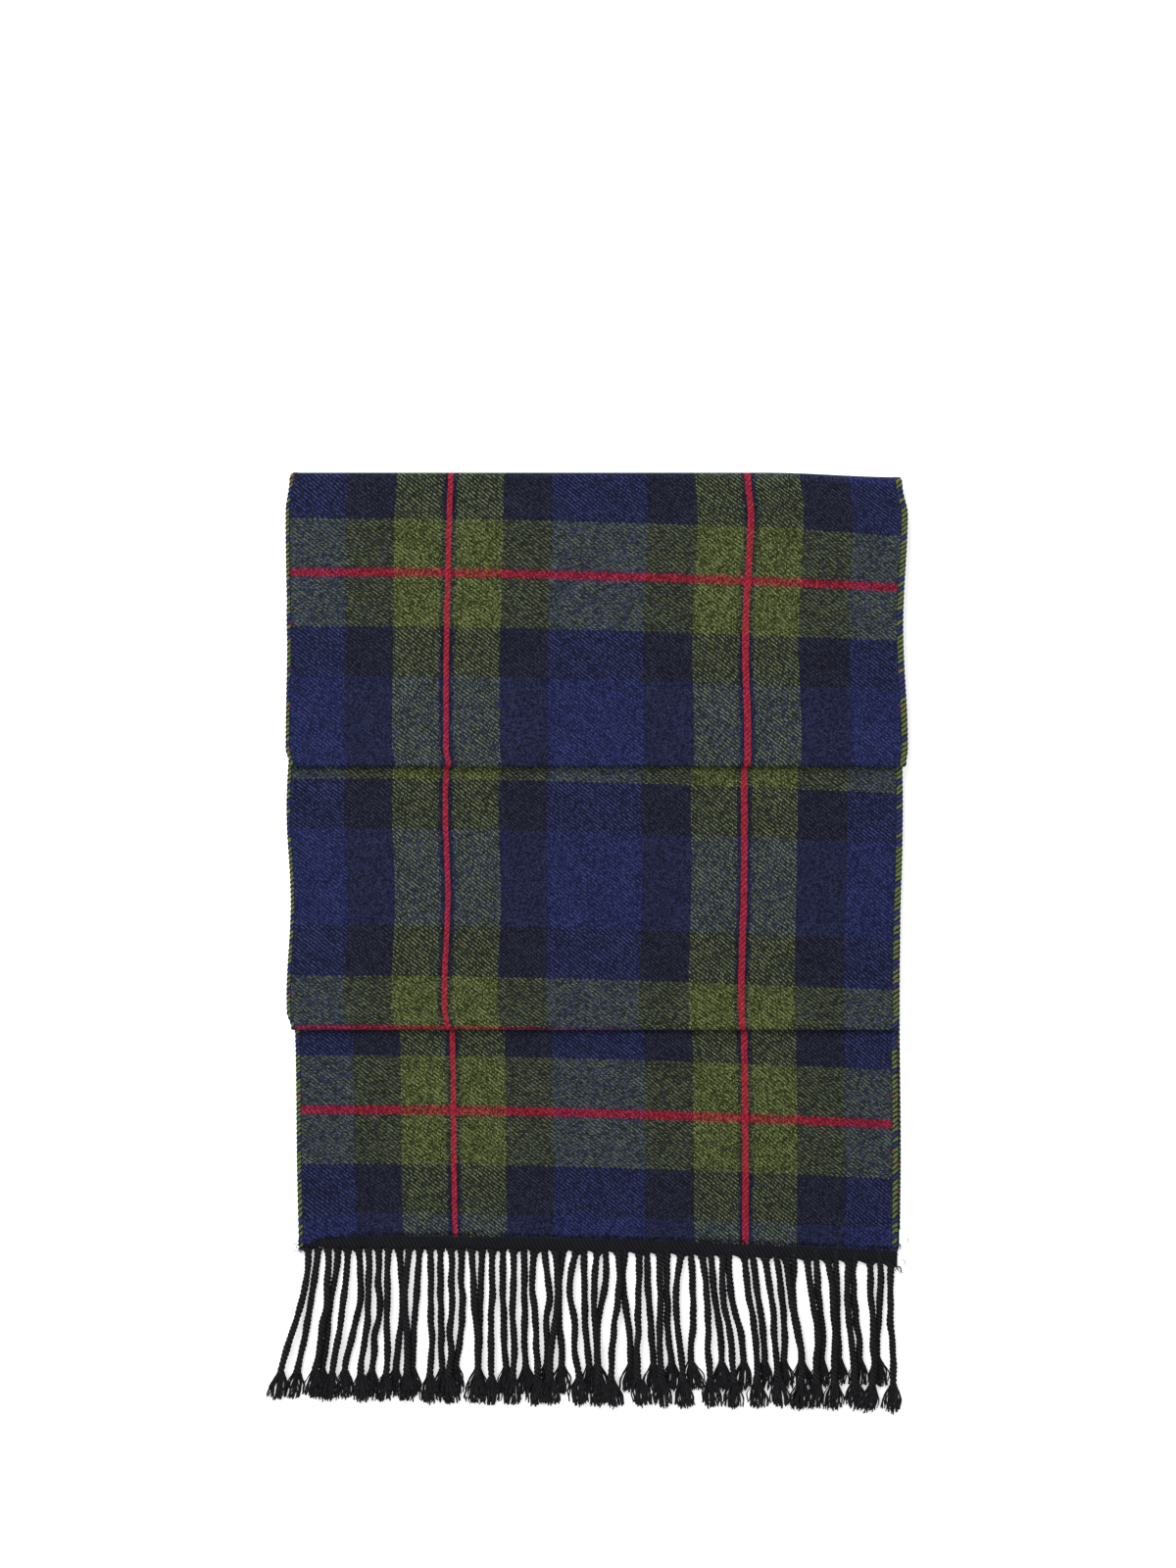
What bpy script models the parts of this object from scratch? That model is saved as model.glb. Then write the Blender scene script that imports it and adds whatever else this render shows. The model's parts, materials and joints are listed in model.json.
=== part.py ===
"""Folded fringed throw: one length of woven cloth, folded into three stepped tiers, with a twisted fringe.

Units are metres. +X runs across the cloth, +Y towards the top fold, +Z up. The origin is the middle of the
footprint, on the surface that the throw lies on. The pile, from the bottom: back leaf, front leaf, middle
flap (lower and upper leaf), top flap (lower and upper leaf). The flaps turn about the folds at the top edge,
and each row of fringe turns about its header.
"""

import math

import bmesh
import bpy
from mathutils import Matrix, Vector

# ---- Driving dimensions -------------------------------------------------------------------------
CLOTH_THICKNESS = 0.0012
LAYER_GAP = 0.0003            # air between two layers that lie on each other
SEAM_GAP = 0.0003             # clearance between pieces that meet end to end

BACK_WIDTH = 0.3180
FRONT_WIDTH = 0.3170
MIDDLE_WIDTH = 0.3200
TOP_WIDTH = 0.3256            # the top flap lies flattest, so it spreads a little
CLOTH_SHIFT_X = 0.0049        # the cloth's middle, right of the footprint's middle

TOP_TIER = 0.1543             # top fold to the top tier's edge
MIDDLE_TIER = 0.1383          # top tier's edge to the middle tier's edge
FRONT_TIER = 0.1114           # middle tier's edge to the header
HEADER_DEPTH = 0.0073
FRINGE_LENGTH = 0.0826        # header to the longest tassel's end

FRONT_TASSELS = 29
CORD_RADIUS = 0.0017
BRUSH_LENGTH = 0.0130         # untwisted end of a tassel
BRUSH_HALF_WIDTH = 0.0044
BRUSH_HALF_THICKNESS = 0.0010
FRINGE_MARGIN = 0.0040        # header's end to the middle of the first tassel
LEFT_TIP_RISE = 0.0060        # how much shorter the fringe lies at its left end
BACK_TIP_RISE = 0.0130        # how much shorter the back row lies at its right end
WEB_THICKNESS = 0.0008        # yarn that joins two back tassels at their roots
WEB_DEPTH = 0.0030
WEB_SETBACK = 0.0004          # the web starts this far below the cords' ends
CORD_SIDES = 8
CORD_STATIONS = 9             # sections along a tassel's twisted stretch
CORD_SWAY = 0.0012            # sideways bow of a tassel
SWAY_WAVES = 1.5              # how many times the bow changes across the fringe
SPLAY_REACH = 2.5             # how many tassels share the splay at the left end
SWEEP = 0.0070                # how far the tips in the right half lie swept to the right
SWEEP_MIDDLE = 21.5           # the tassel that is swept furthest
SWEEP_REACH = 4.0             # how many tassels to each side share the sweep
ARC_STEPS = 10                # straight facets in a fold's half circle

# ---- Worked out from the above --------------------------------------------------------------------
PITCH_Z = CLOTH_THICKNESS + LAYER_GAP
PILE_LAYERS = 6
PILE_HEIGHT = PILE_LAYERS * CLOTH_THICKNESS + (PILE_LAYERS - 1) * LAYER_GAP
CLOTH_LENGTH = TOP_TIER + MIDDLE_TIER + FRONT_TIER + HEADER_DEPTH
TOTAL_LENGTH = CLOTH_LENGTH + FRINGE_LENGTH
TOP_Y = TOTAL_LENGTH / 2
TOP_TIER_Y = TOP_Y - TOP_TIER
MIDDLE_TIER_Y = TOP_TIER_Y - MIDDLE_TIER
HEADER_TOP_Y = MIDDLE_TIER_Y - FRONT_TIER
HEADER_END_Y = HEADER_TOP_Y - HEADER_DEPTH
TIP_Y = HEADER_END_Y - FRINGE_LENGTH
SPINE_Y = TOP_Y - PILE_HEIGHT / 2          # middle of the outer top fold
EDGE_RADIUS = PITCH_Z - LAYER_GAP / 2      # outer radius of a fold between two neighbouring layers
RIGHT_X = CLOTH_SHIFT_X + TOP_WIDTH / 2    # the footprint's right side; its left side mirrors it

BACK_LEVEL, FRONT_LEVEL, MIDDLE_LOW_LEVEL, MIDDLE_HIGH_LEVEL, TOP_LOW_LEVEL, TOP_HIGH_LEVEL = range(6)

COLLECTION = "folded_fringed_throw"


def level_z(level: float) -> float:
    """Height of the middle of a layer."""
    return level * PITCH_Z + CLOTH_THICKNESS / 2


# ---- Scene, materials, small helpers ---------------------------------------------------------------
def clear_scene() -> None:
    for obj in list(bpy.data.objects):
        bpy.data.objects.remove(obj, do_unlink=True)


def make_collection(name: str, hidden: bool = False) -> bpy.types.Collection:
    collection = bpy.data.collections.new(name)
    collection.hide_render = hidden
    bpy.context.scene.collection.children.link(collection)
    return collection


def make_material(name: str, colour: tuple, roughness: float) -> bpy.types.Material:
    material = bpy.data.materials.new(name)
    material.use_nodes = True
    shader = material.node_tree.nodes["Principled BSDF"]
    shader.inputs["Base Color"].default_value = (*colour, 1.0)
    shader.inputs["Roughness"].default_value = roughness
    shader.inputs["Metallic"].default_value = 0.0
    material.diffuse_color = (*colour, 1.0)
    return material


def add_object(name: str, bm: bmesh.types.BMesh, material, collection) -> bpy.types.Object:
    """Turns bm into a named object with outward faces and shaded smooth up to 40 degrees."""
    bmesh.ops.recalc_face_normals(bm, faces=bm.faces)
    mesh = bpy.data.meshes.new(name)
    bm.to_mesh(mesh)
    bm.free()
    mesh.materials.append(material)
    mesh.shade_smooth()
    mesh.set_sharp_from_angle(angle=math.radians(40))
    obj = bpy.data.objects.new(name, mesh)
    collection.objects.link(obj)
    return obj


# ---- Cloth -----------------------------------------------------------------------------------------
def make_leaf(name, level, width, low_y, high_y, material, collection) -> bpy.types.Object:
    """A flat layer of cloth between two Y positions, with its long edges eased."""
    bm = bmesh.new()
    bmesh.ops.create_cube(bm, size=1.0)
    bmesh.ops.scale(bm, verts=bm.verts, vec=(width, high_y - low_y, CLOTH_THICKNESS))
    bmesh.ops.translate(
        bm, verts=bm.verts, vec=(CLOTH_SHIFT_X, (low_y + high_y) / 2, level_z(level)))
    obj = add_object(name, bm, material, collection)
    long_edges = [
        edge for edge in obj.data.edges
        if abs(obj.data.vertices[edge.vertices[0]].co.y - obj.data.vertices[edge.vertices[1]].co.y)
        > CLOTH_THICKNESS]
    weights = obj.data.attributes.new("bevel_weight_edge", "FLOAT", "EDGE")
    for edge in long_edges:
        weights.data[edge.index].value = 1.0
    bevel = obj.modifiers.new("eased_selvedges", "BEVEL")
    bevel.width = CLOTH_THICKNESS / 4
    bevel.segments = 2
    bevel.limit_method = "WEIGHT"
    return obj


def make_fold(name, width, centre_y, centre_z, outer_radius, side, material, collection):
    """A half ring of cloth along X, open towards -side in Y, that joins two layers.

    side is +1 for a fold at the top edge and -1 for a tier's lower edge. The outline is drawn flat and
    extruded to the cloth's width.
    """
    inner_radius = outer_radius - CLOTH_THICKNESS
    curve = bpy.data.curves.new(name, "CURVE")
    curve.dimensions = "2D"
    curve.fill_mode = "BOTH"
    curve.extrude = width / 2
    angles = [-math.pi / 2 + math.pi * step / ARC_STEPS for step in range(ARC_STEPS + 1)]
    outline = [(outer_radius * math.cos(a), outer_radius * math.sin(a)) for a in angles]
    outline += [(inner_radius * math.cos(a), inner_radius * math.sin(a)) for a in reversed(angles)]
    spline = curve.splines.new("POLY")
    spline.points.add(len(outline) - 1)
    for point, (u, v) in zip(spline.points, outline):
        point.co = (u * side, v, 0.0, 1.0)
    spline.use_cyclic_u = True
    curve.materials.append(material)
    obj = bpy.data.objects.new(name, curve)
    # the outline's U, V and normal become Y, Z and X
    turn = Matrix(((0, 0, 1), (1, 0, 0), (0, 1, 0))).to_4x4()
    obj.matrix_world = Matrix.Translation((CLOTH_SHIFT_X, centre_y, centre_z)) @ turn
    collection.objects.link(obj)
    return obj


def make_cloth(materials, collection) -> None:
    """Six leaves, the five folds between them and the two black headers."""
    leaf_end = SPINE_Y - SEAM_GAP
    cloth, black = materials["cloth"], materials["header"]

    def tier_leaf(name, level, width, tier_y):
        make_leaf(name, level, width, tier_y + EDGE_RADIUS + SEAM_GAP, leaf_end, cloth, collection)

    def end_leaf(name, level, width):
        make_leaf(name, level, width, HEADER_TOP_Y + SEAM_GAP / 2, leaf_end, cloth, collection)

    def header(name, level, width):
        make_leaf(name, level, width, HEADER_END_Y, HEADER_TOP_Y - SEAM_GAP / 2, black, collection)

    end_leaf("back_leaf", BACK_LEVEL, BACK_WIDTH)
    end_leaf("front_leaf", FRONT_LEVEL, FRONT_WIDTH)
    tier_leaf("middle_flap_lower_leaf", MIDDLE_LOW_LEVEL, MIDDLE_WIDTH, MIDDLE_TIER_Y)
    tier_leaf("middle_flap_upper_leaf", MIDDLE_HIGH_LEVEL, MIDDLE_WIDTH, MIDDLE_TIER_Y)
    tier_leaf("top_flap_lower_leaf", TOP_LOW_LEVEL, TOP_WIDTH, TOP_TIER_Y)
    tier_leaf("top_flap_upper_leaf", TOP_HIGH_LEVEL, TOP_WIDTH, TOP_TIER_Y)
    header("back_header", BACK_LEVEL, BACK_WIDTH)
    header("front_header", FRONT_LEVEL, FRONT_WIDTH)

    folds = (
        ("middle_flap_edge_fold", MIDDLE_WIDTH, MIDDLE_TIER_Y, MIDDLE_LOW_LEVEL),
        ("top_flap_edge_fold", TOP_WIDTH, TOP_TIER_Y, TOP_LOW_LEVEL))
    for name, width, tier_y, level in folds:
        make_fold(name, width, tier_y + EDGE_RADIUS, level_z(level + 0.5), EDGE_RADIUS, -1,
                  cloth, collection)

    make_fold("lower_inner_fold", min(FRONT_WIDTH, MIDDLE_WIDTH), SPINE_Y,
              level_z(FRONT_LEVEL + 0.5), EDGE_RADIUS, 1, cloth, collection)
    make_fold("upper_inner_fold", min(MIDDLE_WIDTH, TOP_WIDTH), SPINE_Y,
              level_z(MIDDLE_HIGH_LEVEL + 0.5), EDGE_RADIUS, 1, cloth, collection)
    make_fold("outer_top_fold", TOP_WIDTH, SPINE_Y, PILE_HEIGHT / 2, PILE_HEIGHT / 2, 1,
              cloth, collection)


# ---- Fringe ----------------------------------------------------------------------------------------
def smooth(t: float) -> float:
    """0 to 1 with level ends, for t clamped to 0..1."""
    t = min(max(t, 0.0), 1.0)
    return t * t * (3 - 2 * t)


def add_tassel(bm, root, tip, mid_z, sway) -> None:
    """Lofts one tassel: a round twisted cord that opens into a flat brush at its tip.

    root and tip are the middles of the two ends. mid_z is the cord's height where its brush begins.
    """
    length = root.y - tip.y
    neck = 1.0 - BRUSH_LENGTH / length
    stations = [neck * step / CORD_STATIONS for step in range(CORD_STATIONS + 1)]
    stations += [(neck + 2.0) / 3, 1.0]
    rings = []
    for t in stations:
        opened = smooth((t - neck) / (1.0 - neck))
        half_width = CORD_RADIUS + (BRUSH_HALF_WIDTH - CORD_RADIUS) * opened
        half_height = CORD_RADIUS + (BRUSH_HALF_THICKNESS - CORD_RADIUS) * opened
        z = root.z + (mid_z - root.z) * smooth(t / (neck / 2)) + (tip.z - mid_z) * opened
        x = root.x + (tip.x - root.x) * smooth(t) + sway * math.sin(math.pi * t)
        ring = []
        for side in range(CORD_SIDES):
            angle = 2 * math.pi * (side + 0.5) / CORD_SIDES
            ring.append(bm.verts.new(
                (x + half_width * math.cos(angle), root.y - length * t, z + half_height * math.sin(angle))))
        rings.append(ring)
    for ring, following in zip(rings, rings[1:]):
        for side in range(CORD_SIDES):
            after = (side + 1) % CORD_SIDES
            bm.faces.new((ring[side], ring[after], following[after], following[side]))
    bm.faces.new(rings[0])
    bm.faces.new(reversed(rings[-1]))


def tassel_pitch() -> float:
    return (FRONT_WIDTH - 2 * FRINGE_MARGIN) / (FRONT_TASSELS - 1)


def tassel_x(index: float) -> float:
    """Where tassel index leaves the header; the back row uses halves."""
    return CLOTH_SHIFT_X - FRONT_WIDTH / 2 + FRINGE_MARGIN + index * tassel_pitch()


def sway_at(index: float) -> float:
    return CORD_SWAY * math.sin(2 * math.pi * SWAY_WAVES * index / FRONT_TASSELS)


def tip_x(index: float) -> float:
    """Where a tassel's tip lies: splayed at the left end, to the footprint's side, and swept in the right half."""
    brush_reach = BRUSH_HALF_WIDTH * math.cos(math.pi / CORD_SIDES)
    sweep = SWEEP * math.exp(-((index - SWEEP_MIDDLE) / SWEEP_REACH) ** 2)
    splay = (tassel_x(0) + RIGHT_X - brush_reach) * math.exp(-index / SPLAY_REACH)
    return tassel_x(index) + sweep - splay


def tip_y(index: float, right_rise: float) -> float:
    """Where a tassel ends: LEFT_TIP_RISE short of the fringe's length at the left, right_rise at the right."""
    share = index / (FRONT_TASSELS - 1)
    return TIP_Y + LEFT_TIP_RISE * (1 - share) + right_rise * share


def make_front_fringe(material, collection) -> None:
    """The upper row, one node a tassel. Its roots clear the yarn webs of the back row."""
    root_z = WEB_THICKNESS + LAYER_GAP + CORD_RADIUS
    raised_z = 2 * BRUSH_HALF_THICKNESS + LAYER_GAP + CORD_RADIUS
    tip_z = 2 * BRUSH_HALF_THICKNESS + LAYER_GAP + BRUSH_HALF_THICKNESS
    for index in range(FRONT_TASSELS):
        root = Vector((tassel_x(index), HEADER_END_Y - SEAM_GAP, root_z))
        tip = Vector((tip_x(index), tip_y(index, 0.0), tip_z))
        bm = bmesh.new()
        add_tassel(bm, root, tip, raised_z, sway_at(index))
        add_object(f"front_tassel_{index + 1:02d}", bm, material, collection)


def make_back_fringe(material, collection, cutters) -> None:
    """The lower row, between the front tassels: pairs of tassels joined by a web of yarn at their roots."""
    root_y = HEADER_END_Y - SEAM_GAP
    for pair in range((FRONT_TASSELS - 1) // 2):
        halves = []
        for member in range(2):
            index = 2 * pair + member + 0.5
            root = Vector((tassel_x(index), root_y, CORD_RADIUS))
            tip = Vector((tip_x(index), tip_y(index, BACK_TIP_RISE), BRUSH_HALF_THICKNESS))
            bm = bmesh.new()
            add_tassel(bm, root, tip, CORD_RADIUS, sway_at(index))
            name = f"back_tassel_pair_{pair + 1:02d}" if member == 0 else f"join_tassel_{pair + 1:02d}"
            halves.append(add_object(name, bm, material, collection if member == 0 else cutters))
        web = bmesh.new()
        bmesh.ops.create_cube(web, size=1.0)
        bmesh.ops.scale(web, verts=web.verts, vec=(tassel_pitch(), WEB_DEPTH, WEB_THICKNESS))
        bmesh.ops.translate(web, verts=web.verts, vec=(
            tassel_x(2 * pair + 1), root_y - WEB_SETBACK - WEB_DEPTH / 2, WEB_THICKNESS / 2))
        web_obj = add_object(f"join_web_{pair + 1:02d}", web, material, cutters)
        for other in (halves[1], web_obj):
            other.hide_render = True
            other.display_type = "WIRE"
            union = halves[0].modifiers.new(f"with_{other.name}", "BOOLEAN")
            union.operation = "UNION"
            union.solver = "EXACT"
            union.object = other


def main() -> None:
    clear_scene()
    collection = make_collection(COLLECTION)
    cutters = make_collection("joined_shapes", hidden=True)
    materials = {
        "cloth": make_material("woven_check", (0.030, 0.036, 0.050), 0.9),
        "header": make_material("black_header", (0.012, 0.013, 0.016), 0.95),
        "fringe": make_material("black_yarn", (0.012, 0.013, 0.016), 0.9)}
    make_cloth(materials, collection)
    make_front_fringe(materials["fringe"], collection)
    make_back_fringe(materials["fringe"], collection, cutters)


main()
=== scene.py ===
"""Looks for the folded fringed throw: woven check cloth in six layers, two black headers and a twisted fringe.

Everything is in metres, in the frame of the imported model: +X runs across the cloth, +Y towards the top folds,
+Z up. The cloth is one long sheet that zigzags through the pile. Each visible stretch of it is a closed shell
around a path in the YZ plane; its pattern is woven in the material from the cloth's own coordinates, which are
the distance from the left selvedge (U) and the distance from the front header (V), both in metres.
"""
import json
import logging
import math
from dataclasses import dataclass, field
from enum import Enum
from typing import Sequence

import bpy
import numpy as np
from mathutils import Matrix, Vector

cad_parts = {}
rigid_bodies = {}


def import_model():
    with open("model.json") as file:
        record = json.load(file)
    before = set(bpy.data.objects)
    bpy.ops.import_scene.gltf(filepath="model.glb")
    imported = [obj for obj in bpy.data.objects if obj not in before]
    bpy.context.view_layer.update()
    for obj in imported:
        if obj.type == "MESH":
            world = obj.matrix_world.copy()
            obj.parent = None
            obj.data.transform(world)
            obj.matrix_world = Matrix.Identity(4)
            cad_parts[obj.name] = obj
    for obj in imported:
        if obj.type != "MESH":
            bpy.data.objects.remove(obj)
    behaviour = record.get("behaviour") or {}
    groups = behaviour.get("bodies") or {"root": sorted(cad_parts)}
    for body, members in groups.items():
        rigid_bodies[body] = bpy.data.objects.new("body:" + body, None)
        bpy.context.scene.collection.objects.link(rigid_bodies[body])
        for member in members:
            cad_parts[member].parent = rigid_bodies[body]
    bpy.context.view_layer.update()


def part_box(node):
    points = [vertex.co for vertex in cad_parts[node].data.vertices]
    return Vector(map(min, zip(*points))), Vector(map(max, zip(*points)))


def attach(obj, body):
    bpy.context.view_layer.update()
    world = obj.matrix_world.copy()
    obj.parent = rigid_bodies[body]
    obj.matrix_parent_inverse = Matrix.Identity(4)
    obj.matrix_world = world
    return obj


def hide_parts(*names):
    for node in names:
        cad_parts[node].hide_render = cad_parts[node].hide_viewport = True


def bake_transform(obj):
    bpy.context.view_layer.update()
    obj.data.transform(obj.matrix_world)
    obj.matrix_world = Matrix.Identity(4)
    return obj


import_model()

LOG = logging.getLogger("folded_throw")
MM = 0.001

# ---- The cloth as woven ---------------------------------------------------------------------------------
CLOTH_WIDTH = 327.8 * MM      # selvedge to selvedge, as woven
SETT = 160.0 * MM             # one repeat of the check, across and along
FIRST_RED_WARP = 84.7 * MM    # from the left selvedge
FIRST_RED_WEFT = 66.5 * MM    # from the front header
GREEN_SHARE, BLACK_SHARE = 0.355, 0.680   # of half a sett, where the stripes end
RED_WARP_SHARE, GUARD_WARP_SHARE = 0.0190, 0.044
RED_WEFT_SHARE, GUARD_WEFT_SHARE = 0.0240, 0.030
GUARD_LEAST_SHARE = 0.001     # of half a sett: a guard is never narrower than this
WARP_PITCH = 0.70 * MM
WEFT_PITCH = 0.52 * MM
BOW = 7.8 * MM                # how far the weft lines lie lower at the right selvedge than at the left
BOW_START = 0.15              # share of the width at which they start to drop
BOW_POWER = 1.6
TIER_REDS = {"middle": 4, "top": 7}   # which red weft line lies at the middle fold, and on the top tier
RED_BELOW_FOLD = 0.3 * MM     # how far the middle fold's crest lies from the middle of its red line
TOP_RED_Y = 194.4 * MM        # where the top tier's red weft line lies

# ---- How it lies -----------------------------------------------------------------------------------------
ROW_STEP = 4.0 * MM           # rows of a leaf's mesh
COLUMNS = 82
ARC_ROWS = 16                 # rows round a fold
HEM_LIFT = 2.5 * MM           # the front header's left end lies this far above its CAD place
HEM_FADE = 60.0 * MM          # how far up the leaf the header's slant reaches
TOP_DROP = 2.4 * MM           # how far the top fold falls away at its right end
TOP_DROP_START = 0.78         # share of the width at which it starts to fall
TOP_FADE = 70.0 * MM
CORNER_INSET = 1.6 * MM       # how far the sides draw in at the top fold
CORNER_FADE = 16.0 * MM
CORNER_SAG = 7.5 * MM         # how far the cloth's end sags at the left corner, where the header is thin
SAG_REACH = 0.040             # share of the width over which that fades
TIER_CORNER_INSET = (2.0 * MM, 0.7 * MM)   # how far the left and the right side draw in at the two tier folds
TIER_CORNER_FADE = 8.0 * MM
END_TAPER = 2.4 * MM          # how far the left side draws in from the middle tier's edge to the header
FOLD_SWELL = 0.45 * MM        # how far a leaf stands proud of flat beside a fold
FOLD_PRESS = 0.10 * MM
FOLD_SWELL_REACH = 6.0 * MM
DRIFT_LOW, DRIFT_HIGH = -0.9 * MM, 1.3 * MM   # of a flap's warp lines, sideways, at its ends
DRIFT_START, DRIFT_REACH = 0.13, 0.10         # where along y they change over
HEADER_TILT = {0: 0.45, 1: -1.0}              # the slant of a leaf's header, as a share of the bow, by level
PAIRED = 0.38                 # where a back tassel hangs between two front ones, in the paired right half
FLOOR_GAP = 0.02 * MM         # yarn that lies on the floor is pressed flat this far above it
WAVE = 0.42 * MM              # height of the cloth's slow waves, on the topmost layer
# The waves that make up the slow waves: a share of the height, a length across, one along, and a phase.
WAVE_TRAINS = ((0.50, 0.171, 0.310, 0.4), (0.30, 0.083, -0.127, 1.7), (0.20, 0.052, 0.061, 0.9))
HEADER_RIB_PITCH = 2.1 * MM
HEADER_RIB_SLANT = 0.6        # how far a rib runs sideways for its way down the header
CORD_RADIUS = 1.58 * MM
CORD_PLIES = 3
LOOP_PITCH = 2.55 * MM        # from loop to loop along a selvedge
LOOP_SLANT = 0.70             # how far a loop runs along the selvedge for its way across it


class Side(Enum):
    """A selvedge of the cloth."""

    LEFT = -1
    RIGHT = 1


class Face(Enum):
    """Which way the cloth's right side faces round a fold."""

    OUTWARDS = 1
    INWARDS = -1


class Row(Enum):
    """A row of the fringe."""

    FRONT = "front"
    BACK = "back"


@dataclass(frozen=True)
class Sway:
    """A slow sideways wave of a selvedge: its size, its length and where it lies furthest to the right."""

    size: float
    length: float
    crest_y: float


# The left and the right selvedge's wave, tier by tier from the fringe.
SWAYS = {0: (Sway(0.3 * MM, 0.130, -0.060), Sway(0.3 * MM, 0.150, -0.110)),
         1: (Sway(1.1 * MM, 0.100, 0.021), Sway(1.0 * MM, 0.182, 0.071)),
         2: (Sway(0.4 * MM, 0.120, 0.160), Sway(1.2 * MM, 0.124, 0.228))}
# Layer by layer: how far a hidden leaf draws in, and how far its left and its right selvedge lie to the right.
SIDE_SHIFTS = ((0.0, 0.0, 0.0), (0.0, 0.0, -0.6 * MM),
               (0.6 * MM, -1.8 * MM, -0.9 * MM), (0.0, -1.8 * MM, -0.9 * MM),
               (0.6 * MM, 0.0, -1.5 * MM), (0.0, 0.0, -1.5 * MM))


# ---- Small numeric helpers ------------------------------------------------------------------------------
def smooth(t: np.ndarray) -> np.ndarray:
    """Returns 3t^2 - 2t^3 of t clamped to 0..1: a step with level ends."""
    t = np.clip(t, 0.0, 1.0)
    return t * t * (3 - 2 * t)


def node_box(node: str) -> np.ndarray:
    """Returns a CAD node's lowest and highest corner as a 2 by 3 array."""
    low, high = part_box(node)
    return np.array([low, high])


def weft_bow(share: np.ndarray) -> np.ndarray:
    """Says how far a weft line has dropped: BOW times the share of the width past BOW_START, to a power.

    Args:
        share: place across the cloth, 0 at the left selvedge and 1 at the right.

    Returns:
        The drop in metres.
    """
    return BOW * np.clip((share - BOW_START) / (1 - BOW_START), 0, 1) ** BOW_POWER


def corner_sag(share: np.ndarray) -> np.ndarray:
    """Says how far the cloth's end sags at its left corner: CORNER_SAG times a decay over SAG_REACH."""
    return CORNER_SAG * np.exp(-share / SAG_REACH)


def top_fall(share: np.ndarray) -> np.ndarray:
    """Says how far the top fold has fallen away at a share of the width, in metres: a smooth step."""
    return TOP_DROP * smooth((share - TOP_DROP_START) / (1 - TOP_DROP_START))


def slow_wave(x: np.ndarray, y: np.ndarray) -> np.ndarray:
    """Gives the height of the cloth's slow waves, from -1 to 1: crossing sines of unlike lengths."""
    return sum(part * np.sin(2 * np.pi * (x / across + y / along) + phase)
               for part, across, along, phase in WAVE_TRAINS)


def paired_part(share: np.ndarray) -> np.ndarray:
    """Says how far the tassels hang in pairs: not at all in the left third, and fully in the right half."""
    return smooth((share - 0.35) / 0.15)


# ---- Meshes ---------------------------------------------------------------------------------------------
@dataclass
class Shell:
    """Closed surfaces of quads, with the cloth's or yarn's own coordinates at each point.

    Attributes:
        points: places, n by 3.
        faces: point numbers, m by 4, turned outwards.
        uv: surface coordinates, n by 2.
        reverse: 0 on the right side and 1 on the wrong side, n.
    """

    points: np.ndarray
    faces: np.ndarray
    uv: np.ndarray
    reverse: np.ndarray

    @staticmethod
    def tube(rings: np.ndarray, uv: np.ndarray, reverse: np.ndarray | None = None) -> "Shell":
        """Skins a row of rings, and closes each end with strips between opposite points of its ring.

        Args:
            rings: stations by ring points by 3; the ring has an even number of points.
            uv: stations by ring points by 2.
            reverse: stations by ring points, or None for 0.

        Returns:
            The closed shell. It is turned outwards by its signed volume, the sum of the tetrahedra between
            the origin and each face.
        """
        stations, ring = rings.shape[:2]
        row = np.arange(stations - 1)[:, None] * ring
        here = np.arange(ring)[None, :]
        after = (here + 1) % ring
        bands = np.stack((row + here, row + after, row + ring + after, row + ring + here), -1).reshape(-1, 4)
        half = np.arange(ring // 2 - 1)
        first = np.stack((half, ring - 1 - half, ring - 2 - half, half + 1), -1)
        last = first[:, ::-1] + (stations - 1) * ring
        faces = np.concatenate((bands, first, last))
        points = rings.reshape(-1, 3)
        a, b, c, d = (points[faces[:, k]] for k in range(4))
        volume = np.einsum("ij,ij->", a, np.cross(b, c)) + np.einsum("ij,ij->", a, np.cross(c, d))
        if volume < 0:
            faces = faces[:, ::-1]
        marks = np.zeros(len(points)) if reverse is None else reverse.reshape(-1)
        return Shell(points, faces, uv.reshape(-1, 2), marks)

    @staticmethod
    def joined(shells: Sequence["Shell"]) -> "Shell":
        """Puts several shells into one, each still closed on its own."""
        starts = np.cumsum([0] + [len(shell.points) for shell in shells[:-1]])
        return Shell(np.concatenate([shell.points for shell in shells]),
                     np.concatenate([shell.faces + start for shell, start in zip(shells, starts)]),
                     np.concatenate([shell.uv for shell in shells]),
                     np.concatenate([shell.reverse for shell in shells]))

    def to_object(self, name: str, material: bpy.types.Material,
                  sharp_degrees: float = 50.0) -> bpy.types.Object:
        """Makes the mesh object, with its UV map and its reverse_face attribute.

        Args:
            name: the object's name.
            material: its finish.
            sharp_degrees: edges that turn more than this stay sharp.

        Returns:
            The new object, at the origin.
        """
        mesh = bpy.data.meshes.new(name)
        mesh.from_pydata(self.points.tolist(), [], self.faces.tolist())
        corner = np.empty(len(mesh.loops), np.int32)
        mesh.loops.foreach_get("vertex_index", corner)
        layer = mesh.uv_layers.new(name="cloth_metres")
        layer.data.foreach_set("uv", self.uv[corner].astype(np.float32).ravel())
        marks = mesh.attributes.new("reverse_face", "FLOAT", "POINT")
        marks.data.foreach_set("value", self.reverse.astype(np.float32))
        mesh.shade_smooth()
        mesh.set_sharp_from_angle(angle=math.radians(sharp_degrees))
        mesh.materials.append(material)
        obj = bpy.data.objects.new(name, mesh)
        bpy.context.scene.collection.objects.link(obj)
        LOG.info("%s: %d faces", name, len(self.faces))
        return obj


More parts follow.
